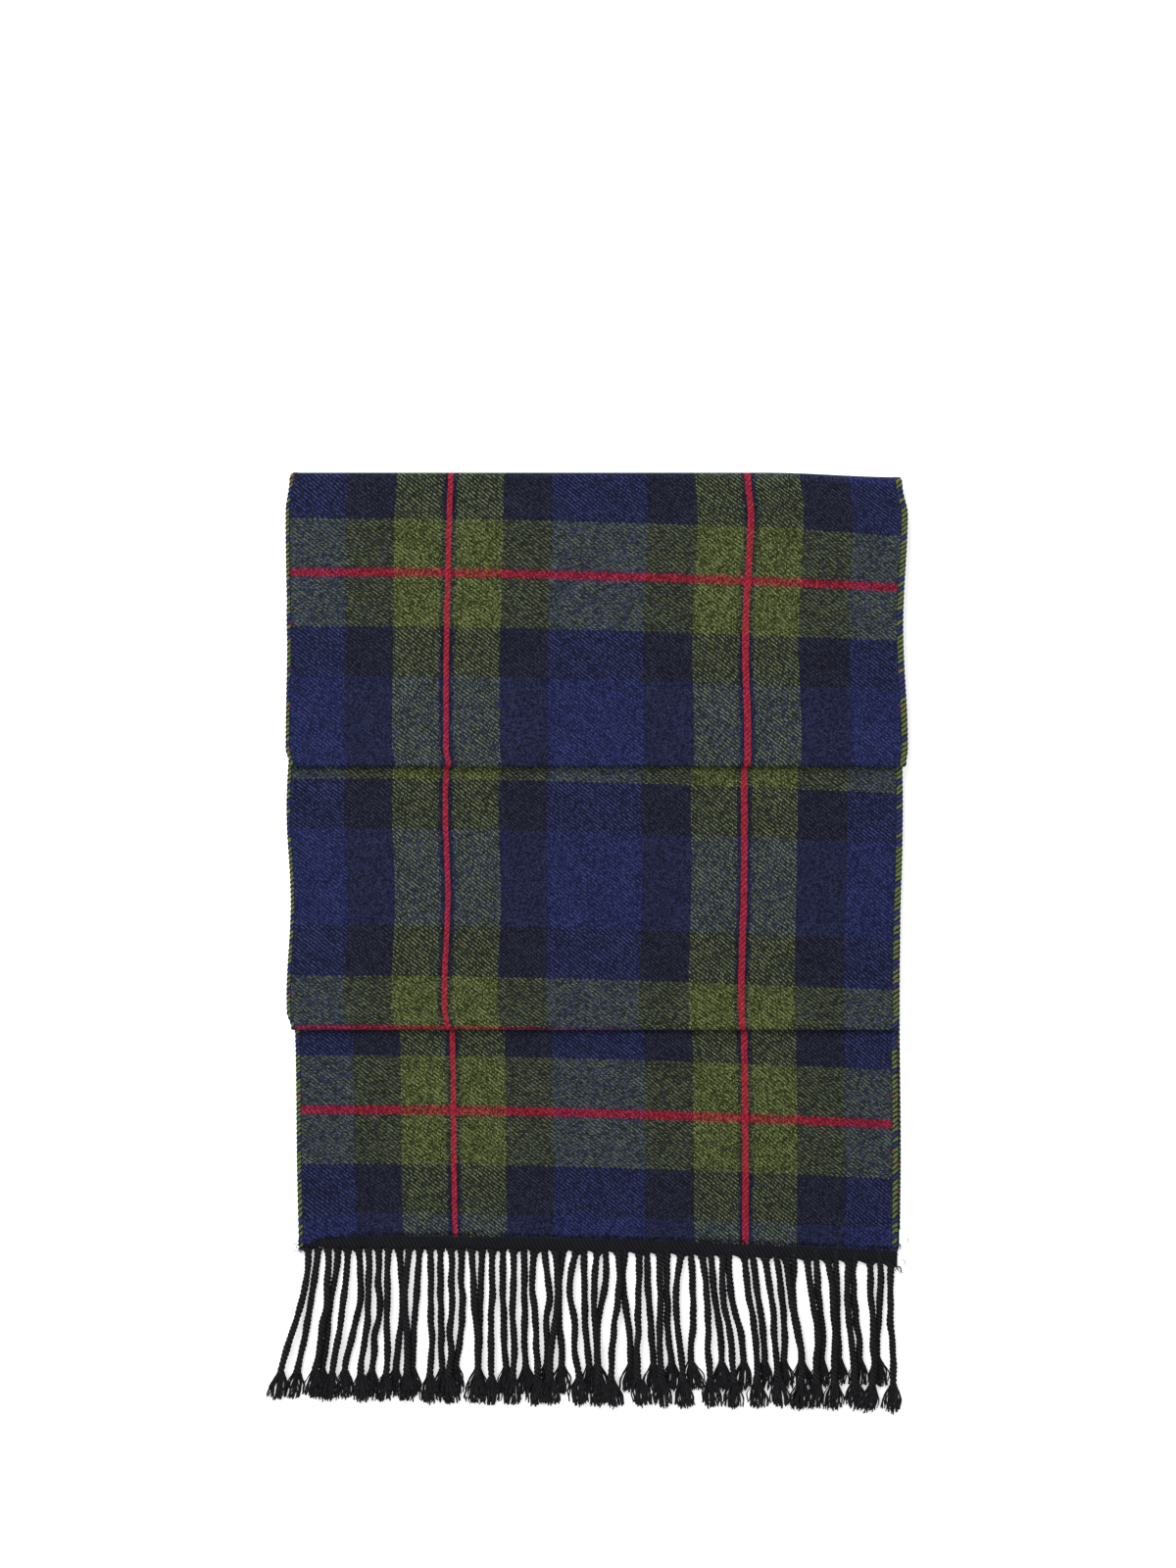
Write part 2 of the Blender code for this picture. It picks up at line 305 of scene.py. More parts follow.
def loose_yarns(middles: np.ndarray, radii: np.ndarray, length: float = 0.0) -> Shell:
    """Skins many thin yarns, each a four-sided tube around its middle line.

    A ring's points are the middle plus the radius times the cosine and sine of four angles, in x and z, sheared
    a little along y, and lifted clear of the floor: the yarns all run mostly along y.

    Args:
        middles: yarns by stations by 3.
        radii: yarns by stations.
        length: how much of V a yarn takes.

    Returns:
        All of them, each a closed tube. U stays near 0, on the crown of a ply, and each yarn has its own V.
    """
    yarns, stations = radii.shape
    turn = np.pi / 2 * np.arange(4)
    rings = np.repeat(middles[:, :, None, :], 4, 2)
    shear = 0.4
    rings[..., 0] += radii[..., None] * np.cos(turn)
    rings[..., 1] += shear * radii[..., None] * np.cos(turn)
    rings[..., 2] = np.maximum(rings[..., 2] + radii[..., None] * np.sin(turn), FLOOR_GAP)
    crown = 0.4 * MM
    shift = 0.37 * MM * np.arange(yarns)[:, None, None] % crown
    along = np.linspace(0, length, stations)[None, :, None]
    uv = np.stack([np.broadcast_to(part, rings.shape[:3]) for part in (shift, along + shift * 40)], -1)
    return Shell.joined([Shell.tube(yarn, place) for yarn, place in zip(rings, uv)])


# ---- Materials ------------------------------------------------------------------------------------------
NOISE_SPAN = (0.35, 0.65)     # where most values of a noise of few octaves lie
FIBRE_SPAN = (0.25, 0.75)
DYE_SPAN = (0.30, 0.70)


@dataclass(frozen=True)
class Signal:
    """A value in a node tree. Arithmetic on it adds Math nodes."""

    graph: "Graph"
    socket: bpy.types.NodeSocket

    def do(self, operation: str, *others: object) -> "Signal":
        """Adds a Math node whose first value is this one."""
        return self.graph.math(operation, self, *others)

    def __add__(self, other: object) -> "Signal":
        """Gives this plus the other."""
        return self.do("ADD", other)

    def __sub__(self, other: object) -> "Signal":
        """Gives this less the other."""
        return self.do("SUBTRACT", other)

    def __rsub__(self, other: object) -> "Signal":
        """Gives the other less this."""
        return self.graph.math("SUBTRACT", other, self)

    def __mul__(self, other: object) -> "Signal":
        """Gives this times the other."""
        return self.do("MULTIPLY", other)

    def __truediv__(self, other: object) -> "Signal":
        """Gives this over the other."""
        return self.do("DIVIDE", other)

    def parabola(self) -> "Signal":
        """Gives 4t(1 - t)."""
        return (self * 4.0) * (1.0 - self)


class Graph:
    """Short words for building a node tree, in a material or in a group."""

    def __init__(self, tree: bpy.types.NodeTree) -> None:
        """Keeps the tree that nodes are added to."""
        self.tree = tree

    def add(self, kind: str, **settings: object) -> bpy.types.Node:
        """Adds a node of a type, with its properties set."""
        node = self.tree.nodes.new(kind)
        for name, value in settings.items():
            setattr(node, name, value)
        return node

    def feed(self, socket: bpy.types.NodeSocket, value: object) -> None:
        """Links a signal to an input, or sets a plain value on it."""
        if isinstance(value, Signal):
            self.tree.links.new(value.socket, socket)
        else:
            socket.default_value = value

    def make(self, kind: str, inputs: dict[int | str, object], output: int | str = 0,
             **settings: object) -> Signal:
        """Adds a node, feeds its inputs by place or name, and returns one of its outputs."""
        node = self.add(kind, **settings)
        for key, value in inputs.items():
            self.feed(node.inputs[key], value)
        return Signal(self, node.outputs[output])

    def math(self, operation: str, *values: object) -> Signal:
        """Adds a Math node."""
        return self.make("ShaderNodeMath", dict(enumerate(values)), operation=operation)

    def mix(self, share: object, first: object, second: object, blend: str = "MIX") -> Signal:
        """Adds a colour Mix node."""
        return self.make("ShaderNodeMix", {"Factor": share, 6: first, 7: second}, 2, data_type="RGBA",
                         blend_type=blend)

    def between(self, value: object, low: float, high: float, to_low: float, to_high: float) -> Signal:
        """Maps a range of values to another, smoothly and clamped."""
        return self.make("ShaderNodeMapRange", dict(enumerate((value, low, high, to_low, to_high))),
                         interpolation_type="SMOOTHSTEP")

    def around_one(self, value: object, span: tuple[float, float], reach: float) -> Signal:
        """Maps a span of values to a light from 1 less the reach to 1 and the reach."""
        return self.between(value, *span, 1 - reach, 1 + reach)

    def vector(self, x: object, y: object, z: object = 0.0) -> Signal:
        """Joins three values into a vector."""
        return self.make("ShaderNodeCombineXYZ", {0: x, 1: y, 2: z})

    def times(self, colour: object, light: Signal) -> Signal:
        """Multiplies a colour by a light."""
        return self.mix(1.0, colour, self.vector(light, light, light), "MULTIPLY")

    def noise(self, vector: object, scale: float, detail: float = 2.0, roughness: float = 0.5) -> Signal:
        """Adds a noise texture and returns its value."""
        return self.make("ShaderNodeTexNoise", {"Vector": vector, "Scale": scale, "Detail": detail,
                                                "Roughness": roughness}, "Fac")

    def cloth_place(self) -> tuple[Signal, Signal]:
        """Reads the cloth's own coordinates, across and along, in metres."""
        uv_map = self.make("ShaderNodeUVMap", {}, uv_map="cloth_metres")
        across = self.make("ShaderNodeSeparateXYZ", {0: uv_map})
        return across, Signal(self, across.socket.node.outputs[1])

    def group(self, tree: bpy.types.NodeTree, **values: object) -> dict[str, Signal]:
        """Places a node group, feeding its inputs by name with spaces written as underscores."""
        node = self.add("ShaderNodeGroup", node_tree=tree)
        for name, value in values.items():
            self.feed(node.inputs[name.replace("_", " ")], value)
        return {output.name: Signal(self, output) for output in node.outputs}


def new_group(name: str, inputs: Sequence[str], outputs: Sequence[str]) -> tuple[Graph, dict, dict]:
    """Starts a shader node group with named sockets.

    Args:
        name: the group's name.
        inputs: its inputs, all floats.
        outputs: its outputs, floats but for Yarn, which is a colour.

    Returns:
        The graph, its inputs by name and its outputs' sockets by name.
    """
    tree = bpy.data.node_groups.new(name, "ShaderNodeTree")
    for label in inputs:
        tree.interface.new_socket(label, in_out="INPUT", socket_type="NodeSocketFloat")
    for label in outputs:
        kind = "NodeSocketColor" if label == "Yarn" else "NodeSocketFloat"
        tree.interface.new_socket(label, in_out="OUTPUT", socket_type=kind)
    graph = Graph(tree)
    start, end = graph.add("NodeGroupInput"), graph.add("NodeGroupOutput")
    return graph, {k: Signal(graph, start.outputs[k]) for k in inputs}, {k: end.inputs[k] for k in outputs}


def new_material(name: str) -> tuple[bpy.types.Material, Graph, bpy.types.Node]:
    """Starts a material and returns it with its graph and its Principled shader."""
    material = bpy.data.materials.new(name)
    material.use_nodes = True
    return material, Graph(material.node_tree), material.node_tree.nodes["Principled BSDF"]


def finish_yarn(graph: Graph, shader: bpy.types.Node, colour: Signal, height: Signal, strength: float,
                relief: float, **surface: object) -> None:
    """Feeds a shader its colour, its relief as bump, and its surface values.

    Args:
        graph, shader: the material's.
        colour: of its base.
        height: of its relief, 0 to 1.
        strength: of the bump.
        relief: what a height of 1 stands for, in metres.
        surface: values of the shader's other inputs by name, with spaces written as underscores.
    """
    normal = graph.make("ShaderNodeBump", {"Strength": strength, "Distance": relief, "Height": height})
    for name, value in {"Base_Color": colour, "Normal": normal, **surface}.items():
        graph.feed(shader.inputs[name.replace("_", " ")], value)


def twill_group() -> bpy.types.NodeTree:
    """Builds the two-over-two twill, which the cloth's warp and weft are woven in.

    In yarn counts, cell (i, j) has its warp on top where (i + j) mod 4 is under 2, so floats of two yarns step
    one yarn a row and make a diagonal rib. Crown is the roundness of the yarn on top: a parabola across the
    yarn times a flatter parabola along its float, so it is 1 on a float's ridge and 0 in the gaps around it.
    Rib is the cosine of the place across the diagonal ribs, 1 on the warp's and 0 on the weft's. Float Tone is
    a value of each float's own.

    Returns:
        The group. On the cloth's wrong side, Reverse 1, warp and weft change places.
    """
    graph, given, result = new_group("two_over_two_twill", ("Warp Count", "Weft Count", "Reverse"),
                                     ("Warp Up", "Crown", "Rib", "Float Tone"))
    warp_count, weft_count = given["Warp Count"], given["Weft Count"]
    across, along = warp_count.do("FRACT"), weft_count.do("FRACT")
    column, line = warp_count.do("FLOOR"), weft_count.do("FLOOR")
    swap = given["Reverse"].do("ROUND") * 2.0
    step = (column + line + swap).do("FLOORED_MODULO", 4.0)
    warp_up = step.do("LESS_THAN", 1.5)

    def pick(when_warp: Signal, when_weft: Signal) -> Signal:
        """Takes one value on warp floats and the other on weft floats."""
        return when_weft + (when_warp - when_weft) * warp_up

    over_yarn = pick(across, along).parabola()
    over_float = pick((step + along) * 0.5, (step - 2.0 + across) * 0.5).parabola()
    float_place = graph.vector(pick(column, line), pick(line - step, column - step), warp_up)
    diagonal = (warp_count + weft_count) + (swap - 1.5)
    wave = (diagonal * (math.pi / 2)).do("COSINE")
    for name, value in {
            "Warp Up": warp_up,
            "Crown": over_yarn.do("POWER", 0.7) * over_float.do("POWER", 0.45),
            "Rib": wave.do("MULTIPLY_ADD", 0.5, 0.5),
            "Float Tone": graph.make("ShaderNodeTexWhiteNoise", {"Vector": float_place}, "Value",
                                     noise_dimensions="3D")}.items():
        graph.feed(result[name], value)
    return graph.tree


def sett_group(name: str, colours: dict[str, tuple], red_share: float,
               guard_share: float) -> bpy.types.NodeTree:
    """Builds the order of stripes: from each red line out, a dark guard, green, black and blue, then back.

    Args:
        name: the group's name.
        colours: the dyed yarns, by name.
        red_share, guard_share: of half a sett, where the red line and the guard beside it end.

    Returns:
        The group: Place is a distance in the cloth, First Red where its first red line runs, and Fray how
        far, as a share of half a sett, the guard's outer side strays here.
    """
    graph, given, result = new_group(name, ("Place", "First Red", "Fray"), ("Yarn", "Red", "Green"))
    share = (given["Place"] - given["First Red"]).do("PINGPONG", SETT / 2) / (SETT / 2)
    past_red = share.do("GREATER_THAN", red_share)
    beside_red = past_red * share.do("LESS_THAN", GREEN_SHARE / 2)
    frayed = given["Fray"].do("MULTIPLY_ADD", beside_red, share)
    frayed = frayed.do("MAXIMUM", past_red * (red_share + GUARD_LEAST_SHARE))
    ramp = graph.add("ShaderNodeValToRGB")
    ramp.color_ramp.interpolation = "CONSTANT"
    stripes = ((0.0, "red"), (red_share, "guard"), (guard_share, "green"), (GREEN_SHARE, "black"),
               (BLACK_SHARE, "blue"))
    elements = ramp.color_ramp.elements
    while len(elements) < len(stripes):
        elements.new(1.0)
    for element, (position, yarn) in zip(elements, stripes):
        element.position = position
        element.color = (*colours[yarn], 1.0)
    graph.feed(ramp.inputs["Fac"], frayed)
    graph.feed(result["Yarn"], Signal(graph, ramp.outputs["Color"]))
    graph.feed(result["Red"], share.do("LESS_THAN", red_share))
    graph.feed(result["Green"], frayed.do("GREATER_THAN", guard_share) * share.do("LESS_THAN", GREEN_SHARE))
    return graph.tree


def wool_group() -> bpy.types.NodeTree:
    """Builds the loose fibre over a woollen yarn: fine stretched noise, and slow uneven dyeing."""
    graph, given, result = new_group("wool_fibre", ("Across", "Along", "Stretch"), ("Fibre", "Dye"))
    across, along = given["Across"], given["Along"]
    graph.feed(result["Fibre"], graph.noise(graph.vector(across, along / given["Stretch"]), 2600.0, 3.0, 0.6))
    graph.feed(result["Dye"], graph.noise(graph.vector(across, along), 70.0, 4.0, 0.65))
    return graph.tree


@dataclass(frozen=True)
class CheckFinish:
    """The woven check.

    Attributes:
        green, black, blue, guard, red: linear colours of the dyed yarns.
        relief: of the yarns, in metres.
        gap_shade, crown_light: light in the gaps between floats and on their crowns.
        rib_range, rib_range_on_mixed: how much the painted light on the warp's diagonal ribs and the painted
            shade on the weft's show, where one colour and where two meet.
        tone_range, slub_range, fibre_range, dye_range: how much floats, slubs, fibre and dyeing differ.
        dark_yarn_contrast: how much of all that shows on black and blue.
        uneven: uneven spacing, and uneven beating on top of it: the noise's scale, and its size in yarns.
        fray_scale, guard_fray: of the guard's outer side.
        slub_scale: of the slubs' noise.
        warp_cover, weft_cover, weft_cover_on_green: how far a red line hides the yarns that cross it.
        weft_red_light: of the red weft line.
        rope_pitch, rope_slant, rope_part: of the turns of the red warp line, and how far they replace the weave.
        rope_light, rope_slubs: its light from seam to crown, and how uneven it is.
    """

    green: tuple = (0.0460, 0.0560, 0.0200)
    black: tuple = (0.0100, 0.0108, 0.0205)
    blue: tuple = (0.0125, 0.0155, 0.0550)
    guard: tuple = (0.0070, 0.0080, 0.0180)
    red: tuple = (0.2300, 0.0130, 0.0260)
    relief: float = 0.16 * MM
    gap_shade: float = 0.12
    crown_light: float = 1.85
    rib_range: float = 0.50
    rib_range_on_mixed: float = 0.14
    tone_range: float = 0.66
    slub_range: float = 0.15
    fibre_range: float = 0.35
    dye_range: float = 0.12
    dark_yarn_contrast: float = 0.74
    uneven: tuple = ((160.0, 1.3), (620.0, 1.5))
    fray_scale: float = 1100.0
    guard_fray: float = 0.11
    slub_scale: float = 520.0
    warp_cover: float = 0.80
    weft_cover: float = 0.64
    weft_cover_on_green: float = 0.34
    weft_red_light: float = 0.78
    rope_pitch: float = 2.8 * MM
    rope_slant: float = 1.1
    rope_part: float = 0.78
    rope_light: tuple = (0.35, 1.30)
    rope_slubs: float = 0.38

    def build(self, twill: bpy.types.NodeTree, wool: bpy.types.NodeTree) -> bpy.types.Material:
        """Makes the material.

        Args:
            twill: the weave.
            wool: the fibre over it.

        Returns:
            A material that reads the cloth_metres UV map and the reverse_face attribute.
        """
        material, graph, shader = new_material("woven_check_wool")
        across, along = graph.cloth_place()
        fibre = graph.group(wool, Across=across, Along=along, Stretch=1.6)
        # uneven beating and spacing shift the yarns by a part of their pitch
        flat_place = graph.vector(across, along)
        slow, quick = ((graph.noise(flat_place, scale, 1.0) - 0.5) * size for scale, size in self.uneven)
        fray = (graph.noise(flat_place, self.fray_scale) - 0.5) * self.guard_fray
        slubs = graph.noise(flat_place, self.slub_scale, 2.0, 0.7)
        counts = {"warp": across / WARP_PITCH + slow, "weft": along / WEFT_PITCH + (slow + quick)}
        reverse = graph.make("ShaderNodeAttribute", {}, "Fac", attribute_name="reverse_face")
        weave = graph.group(twill, Warp_Count=counts["warp"], Weft_Count=counts["weft"], Reverse=reverse)
        colours = {name: getattr(self, name) for name in ("green", "black", "blue", "guard", "red")}
        warp, weft = (
            graph.group(sett_group(f"sett_of_{name}s", colours, *shares),
                        Place=(counts[name].do("FLOOR") + 0.5) * pitch, First_Red=first_red, Fray=fray)
            for name, pitch, first_red, shares in (
                ("warp", WARP_PITCH, FIRST_RED_WARP, (RED_WARP_SHARE, GUARD_WARP_SHARE)),
                ("weft", WEFT_PITCH, FIRST_RED_WEFT, (RED_WEFT_SHARE, GUARD_WEFT_SHARE))))
        # a red line is a thicker, softer yarn, so it shows over the yarns that cross it
        less = warp["Green"] * (self.weft_cover - self.weft_cover_on_green)
        red_part = (warp["Red"] * self.warp_cover).do("MAXIMUM", weft["Red"] * (self.weft_cover - less))
        yarn = graph.mix(weave["Warp Up"], weft["Yarn"], warp["Yarn"])
        yarn = graph.mix(red_part, yarn, (*self.red, 1.0))
        # painted highlight on the floats' crowns and painted shade in the gaps between them; painted light on
        # the warp's diagonal ribs and painted shade on the weft's, which show most where warp and weft are of
        # one colour
        green_gap = warp["Green"] - weft["Green"]
        rib_range = green_gap.do("ABSOLUTE").do("MULTIPLY_ADD", self.rib_range_on_mixed - self.rib_range,
                                                self.rib_range)
        rib = weave["Rib"].do("MULTIPLY_ADD", 2.0, -1.0)
        light = graph.between(weave["Crown"], 0.0, 1.0, self.gap_shade, self.crown_light)
        light = light * rib.do("MULTIPLY_ADD", rib_range, 1.0)
        for value, span, reach in ((weave["Float Tone"], (0.0, 1.0), self.tone_range),
                                   (slubs, NOISE_SPAN, self.slub_range),
                                   (fibre["Fibre"], FIBRE_SPAN, self.fibre_range),
                                   (fibre["Dye"], DYE_SPAN, self.dye_range)):
            light = light * graph.around_one(value, span, reach)
        # the green yarns are the lustrous ones: the painted light and shade of the relief, and the tones, show
        # less on black and blue
        green_top = green_gap.do("MULTIPLY_ADD", weave["Warp Up"], weft["Green"])
        contrast = green_top.do("MULTIPLY_ADD", 1 - self.dark_yarn_contrast, self.dark_yarn_contrast)
        light = (light - 1.0).do("MULTIPLY_ADD", contrast, 1.0)
        light = light * weft["Red"].do("MULTIPLY_ADD", self.weft_red_light - 1.0, 1.0)
        # the red warp line is plied: painted shade in the slanted seams between its turns, and painted light on
        # their crowns
        rope = ((along - across * self.rope_slant) / self.rope_pitch).do("FRACT").parabola()
        rope_light = graph.between(rope, 0.1, 0.8, *self.rope_light)
        rope_light = rope_light * graph.around_one(slubs, NOISE_SPAN, self.rope_slubs)
        light = light + warp["Red"] * ((rope_light - light) * self.rope_part)
        finish_yarn(graph, shader, graph.times(yarn, light), weave["Crown"] + fibre["Fibre"] * 0.5, 0.8,
                    self.relief, Roughness=graph.between(fibre["Fibre"], 0.2, 0.8, 0.85, 1.0),
                    Specular_IOR_Level=0.04, Sheen_Weight=0.015, Sheen_Roughness=0.6)
        return material


@dataclass(frozen=True)
class SelvedgeFinish:
    """The turned weft loops along the cloth's sides: olive and navy loops with painted shade between them,
    flecked with red.

    Attributes:
        olive, navy, gap, fleck: linear colours; gap is the painted shade between and beside the loops.
        navy_part: the share of navy loops.
        loop_wander: how unevenly the loops lie, in loops.
        tone_drift: how the share of navy drifts along the edge.
        inner, outer: where the loops lie across the strip.
    """

    olive: tuple = (0.1000, 0.1240, 0.0360)
    navy: tuple = (0.0230, 0.0310, 0.1050)
    gap: tuple = (0.0085, 0.0100, 0.0190)
    fleck: tuple = (0.1500, 0.0090, 0.0180)
    navy_part: float = 0.30
    loop_wander: float = 0.9
    tone_drift: tuple = (-0.18, 0.22)
    inner: float = 0.75 * MM
    outer: float = 3.15 * MM

    def build(self, wool: bpy.types.NodeTree) -> bpy.types.Material:
        """Makes the material; U runs across the strip and V along it, in metres."""
        material, graph, shader = new_material("turned_weft_loops")
        across, along = graph.cloth_place()
        place = graph.vector(across, along)
        fibre = graph.group(wool, Across=across, Along=along, Stretch=1.0)
        wander = (graph.noise(place, 420.0) - 0.5) * self.loop_wander
        count = (along - across * LOOP_SLANT) / LOOP_PITCH + wander
        crown = count.do("FRACT").parabola()
        tone = graph.make("ShaderNodeTexWhiteNoise", {"W": count.do("FLOOR")}, "Value", noise_dimensions="1D")
        slow = graph.noise(graph.vector(0.0, along), 24.0, 1.0, 0.4)
        drift = graph.between(slow, *NOISE_SPAN, *self.tone_drift)
        is_navy = (tone + drift).do("LESS_THAN", self.navy_part)
        yarn = graph.mix(is_navy, (*self.olive, 1.0), (*self.navy, 1.0))
        from_cloth = across.do("ABSOLUTE")
        bed = (graph.between(from_cloth, self.inner - 0.4 * MM, self.inner + 0.2 * MM, 0.0, 1.0)
               * graph.between(from_cloth, self.outer, self.outer + 0.3 * MM, 1.0, 0.0))
        # painted shade: the colour falls to a near-black between the loops' crowns and outside the strip of
        # loops
        shown = graph.mix(bed * graph.between(crown, 0.42, 0.86, 0.0, 1.0), (*self.gap, 1.0), yarn)
        red_loop = graph.between(graph.noise(place, 210.0, 0.0), 0.66, 0.70, 0.0, 1.0)
        shown = graph.mix(red_loop * (1.0 - bed), shown, (*self.fleck, 1.0))
        light = graph.around_one(fibre["Fibre"], FIBRE_SPAN, 0.45)
        finish_yarn(graph, shader, graph.times(shown, light), fibre["Fibre"], 0.7, 0.12 * MM,
                    Roughness=0.95, Specular_IOR_Level=0.08)
        return material


@dataclass(frozen=True)
class BlackYarnFinish:
    """Soft black yarn, for the headers and the fringe: nearly black, with a faint cool bloom of loose fibre.

    Attributes:
        name: the material's name.
        deep, bloom: linear colours, in its depth and of its loose fibre.
        fibre_stretch: how much longer than wide its fibres are.
        relief: of the fibres, in metres.
        groove_pitch, groove_slant: from one dark groove to the next along U, and how far it runs in U a V.
        groove_shade: light in a groove.
    """

    name: str
    deep: tuple
    bloom: tuple
    fibre_stretch: float
    relief: float
    groove_pitch: float
    groove_slant: float
    groove_shade: float

    def build(self, wool: bpy.types.NodeTree) -> bpy.types.Material:
        """Makes the material; the fibres run along V, and painted shade darkens the grooves that part its ribs
        or plies.

        A groove lies where the cosine of half a turn a pitch, of U plus a share of V, falls to 0.
        """
        material, graph, shader = new_material(self.name)
        across, along = graph.cloth_place()
        fibre = graph.group(wool, Across=across, Along=along, Stretch=self.fibre_stretch)
        colour = graph.mix(graph.between(fibre["Fibre"], 0.30, 0.78, 0.0, 1.0), (*self.deep, 1.0),
                           (*self.bloom, 1.0))
        slanted = along.do("MULTIPLY_ADD", self.groove_slant, across)
        wave = (slanted * (math.pi / self.groove_pitch)).do("COSINE").do("ABSOLUTE")
        # painted shade in the grooves between the ribs or plies, times the slow uneven dyeing
        light = (graph.around_one(fibre["Dye"], DYE_SPAN, 0.15)
                 * graph.between(wave, 0.0, 0.75, self.groove_shade, 1.0))
        finish_yarn(graph, shader, graph.times(colour, light), fibre["Fibre"], 0.7, self.relief,
                    Roughness=0.9, Specular_IOR_Level=0.06, Sheen_Weight=0.01, Sheen_Roughness=0.5)
        return material


@dataclass
class Finishes:
    """The finishes that the pieces share."""

    check: bpy.types.Material
    selvedge: bpy.types.Material
    header: bpy.types.Material
    fringe: bpy.types.Material

    @classmethod
    def build(cls) -> "Finishes":
        """Makes the node groups and the materials once."""
        twill, wool = twill_group(), wool_group()
        header = BlackYarnFinish("black_header_yarn", (0.0020, 0.0022, 0.0028), (0.0225, 0.0236, 0.0292), 1.0,
                                 0.25 * MM, HEADER_RIB_PITCH, HEADER_RIB_SLANT, 0.22)
        fringe = BlackYarnFinish("black_fringe_yarn", (0.0040, 0.0041, 0.0047), (0.0270, 0.0275, 0.0300), 5.0,
                                 0.12 * MM, 2 * math.pi * CORD_RADIUS / CORD_PLIES, 0.0, 0.16)
        return cls(CheckFinish().build(twill, wool), SelvedgeFinish().build(wool), header.build(wool),
                   fringe.build(wool))


# ---- Cloth ----------------------------------------------------------------------------------------------
@dataclass
class ClothPath:
    """A stretch of the cloth's path through the pile, as rows in the order in which the cloth runs.

    Attributes, one value a row:
        y, z: the middle of the cloth.
        normal_y, normal_z: the unit normal of its right side.
        weft: distance along the cloth from the front header, without the bow.
        left, right: where its selvedges lie.
        hem: how much of the header's slant the row takes, 0 to 1.
        top: how much of the top fold's fall it takes, 0 to 1.
        wave: how much of the slow waves it takes, 0 to 1.
        drift: how far the middle of the cloth lies off its place between the selvedges.
        heading: +1 where the cloth runs up the pile, -1 where it runs down.
        tilt: the slant of the header that ends the leaf, as a share of the bow.
    """

    y: np.ndarray
    z: np.ndarray
    normal_y: np.ndarray
    normal_z: np.ndarray
    weft: np.ndarray
    left: np.ndarray
    right: np.ndarray
    hem: np.ndarray
    top: np.ndarray
    wave: np.ndarray
    drift: np.ndarray
    heading: np.ndarray
    tilt: float = 0.0

    @staticmethod
    def chained(paths: Sequence["ClothPath"]) -> "ClothPath":
        """Joins paths end to end, leaving out the row that two of them share."""
        arrays = {name: np.concatenate([getattr(path, name)[min(k, 1):] for k, path in enumerate(paths)])
                  for name in ClothPath.__dataclass_fields__ if name != "tilt"}
        return ClothPath(**arrays, tilt=paths[0].tilt)

    def surface(self, share: np.ndarray, across: np.ndarray, out: np.ndarray) -> tuple[np.ndarray, np.ndarray]:
        """Places points on and around the path.

        x runs from the left selvedge to the right by the share, plus the across offset. y is the path's, moved
        by the header's slant and the top fold's fall, plus the out offset along the normal; z is the path's
        plus the slow wave, plus the out offset along the normal.

        Args:
            share: place across the cloth, 0 to 1, rows by ring or ring.
            across: further offset in x, in metres.
            out: offset along the right side's normal, in metres.

        Returns:
            The points, rows by ring by 3, and the cloth's coordinates, rows by ring by 2.
        """
        share = np.broadcast_to(share, np.broadcast_shapes(share.shape, out.shape, (len(self.y), 1)))
        bow = weft_bow(share)
        left, hem, heading = self.left[:, None], self.hem[:, None], self.heading[:, None]
        x = left + share * (self.right[:, None] - left) + across
        x = x + self.drift[:, None] * np.sin(np.pi * share) ** 0.7
        slant = hem * (HEM_LIFT + self.tilt * bow) - hem ** 4 * corner_sag(share)
        y = self.y[:, None] + slant - self.top[:, None] * top_fall(share)
        z = self.z[:, None] + self.wave[:, None] * WAVE * slow_wave(x, y)
        weft = self.weft[:, None] + heading * hem * HEM_LIFT
        weft = weft + bow * (1 + heading * hem * self.tilt)
        points = np.stack((x, y + self.normal_y[:, None] * out, z + self.normal_z[:, None] * out), -1)
        return points, np.stack(np.broadcast_arrays(share * CLOTH_WIDTH, weft), -1)


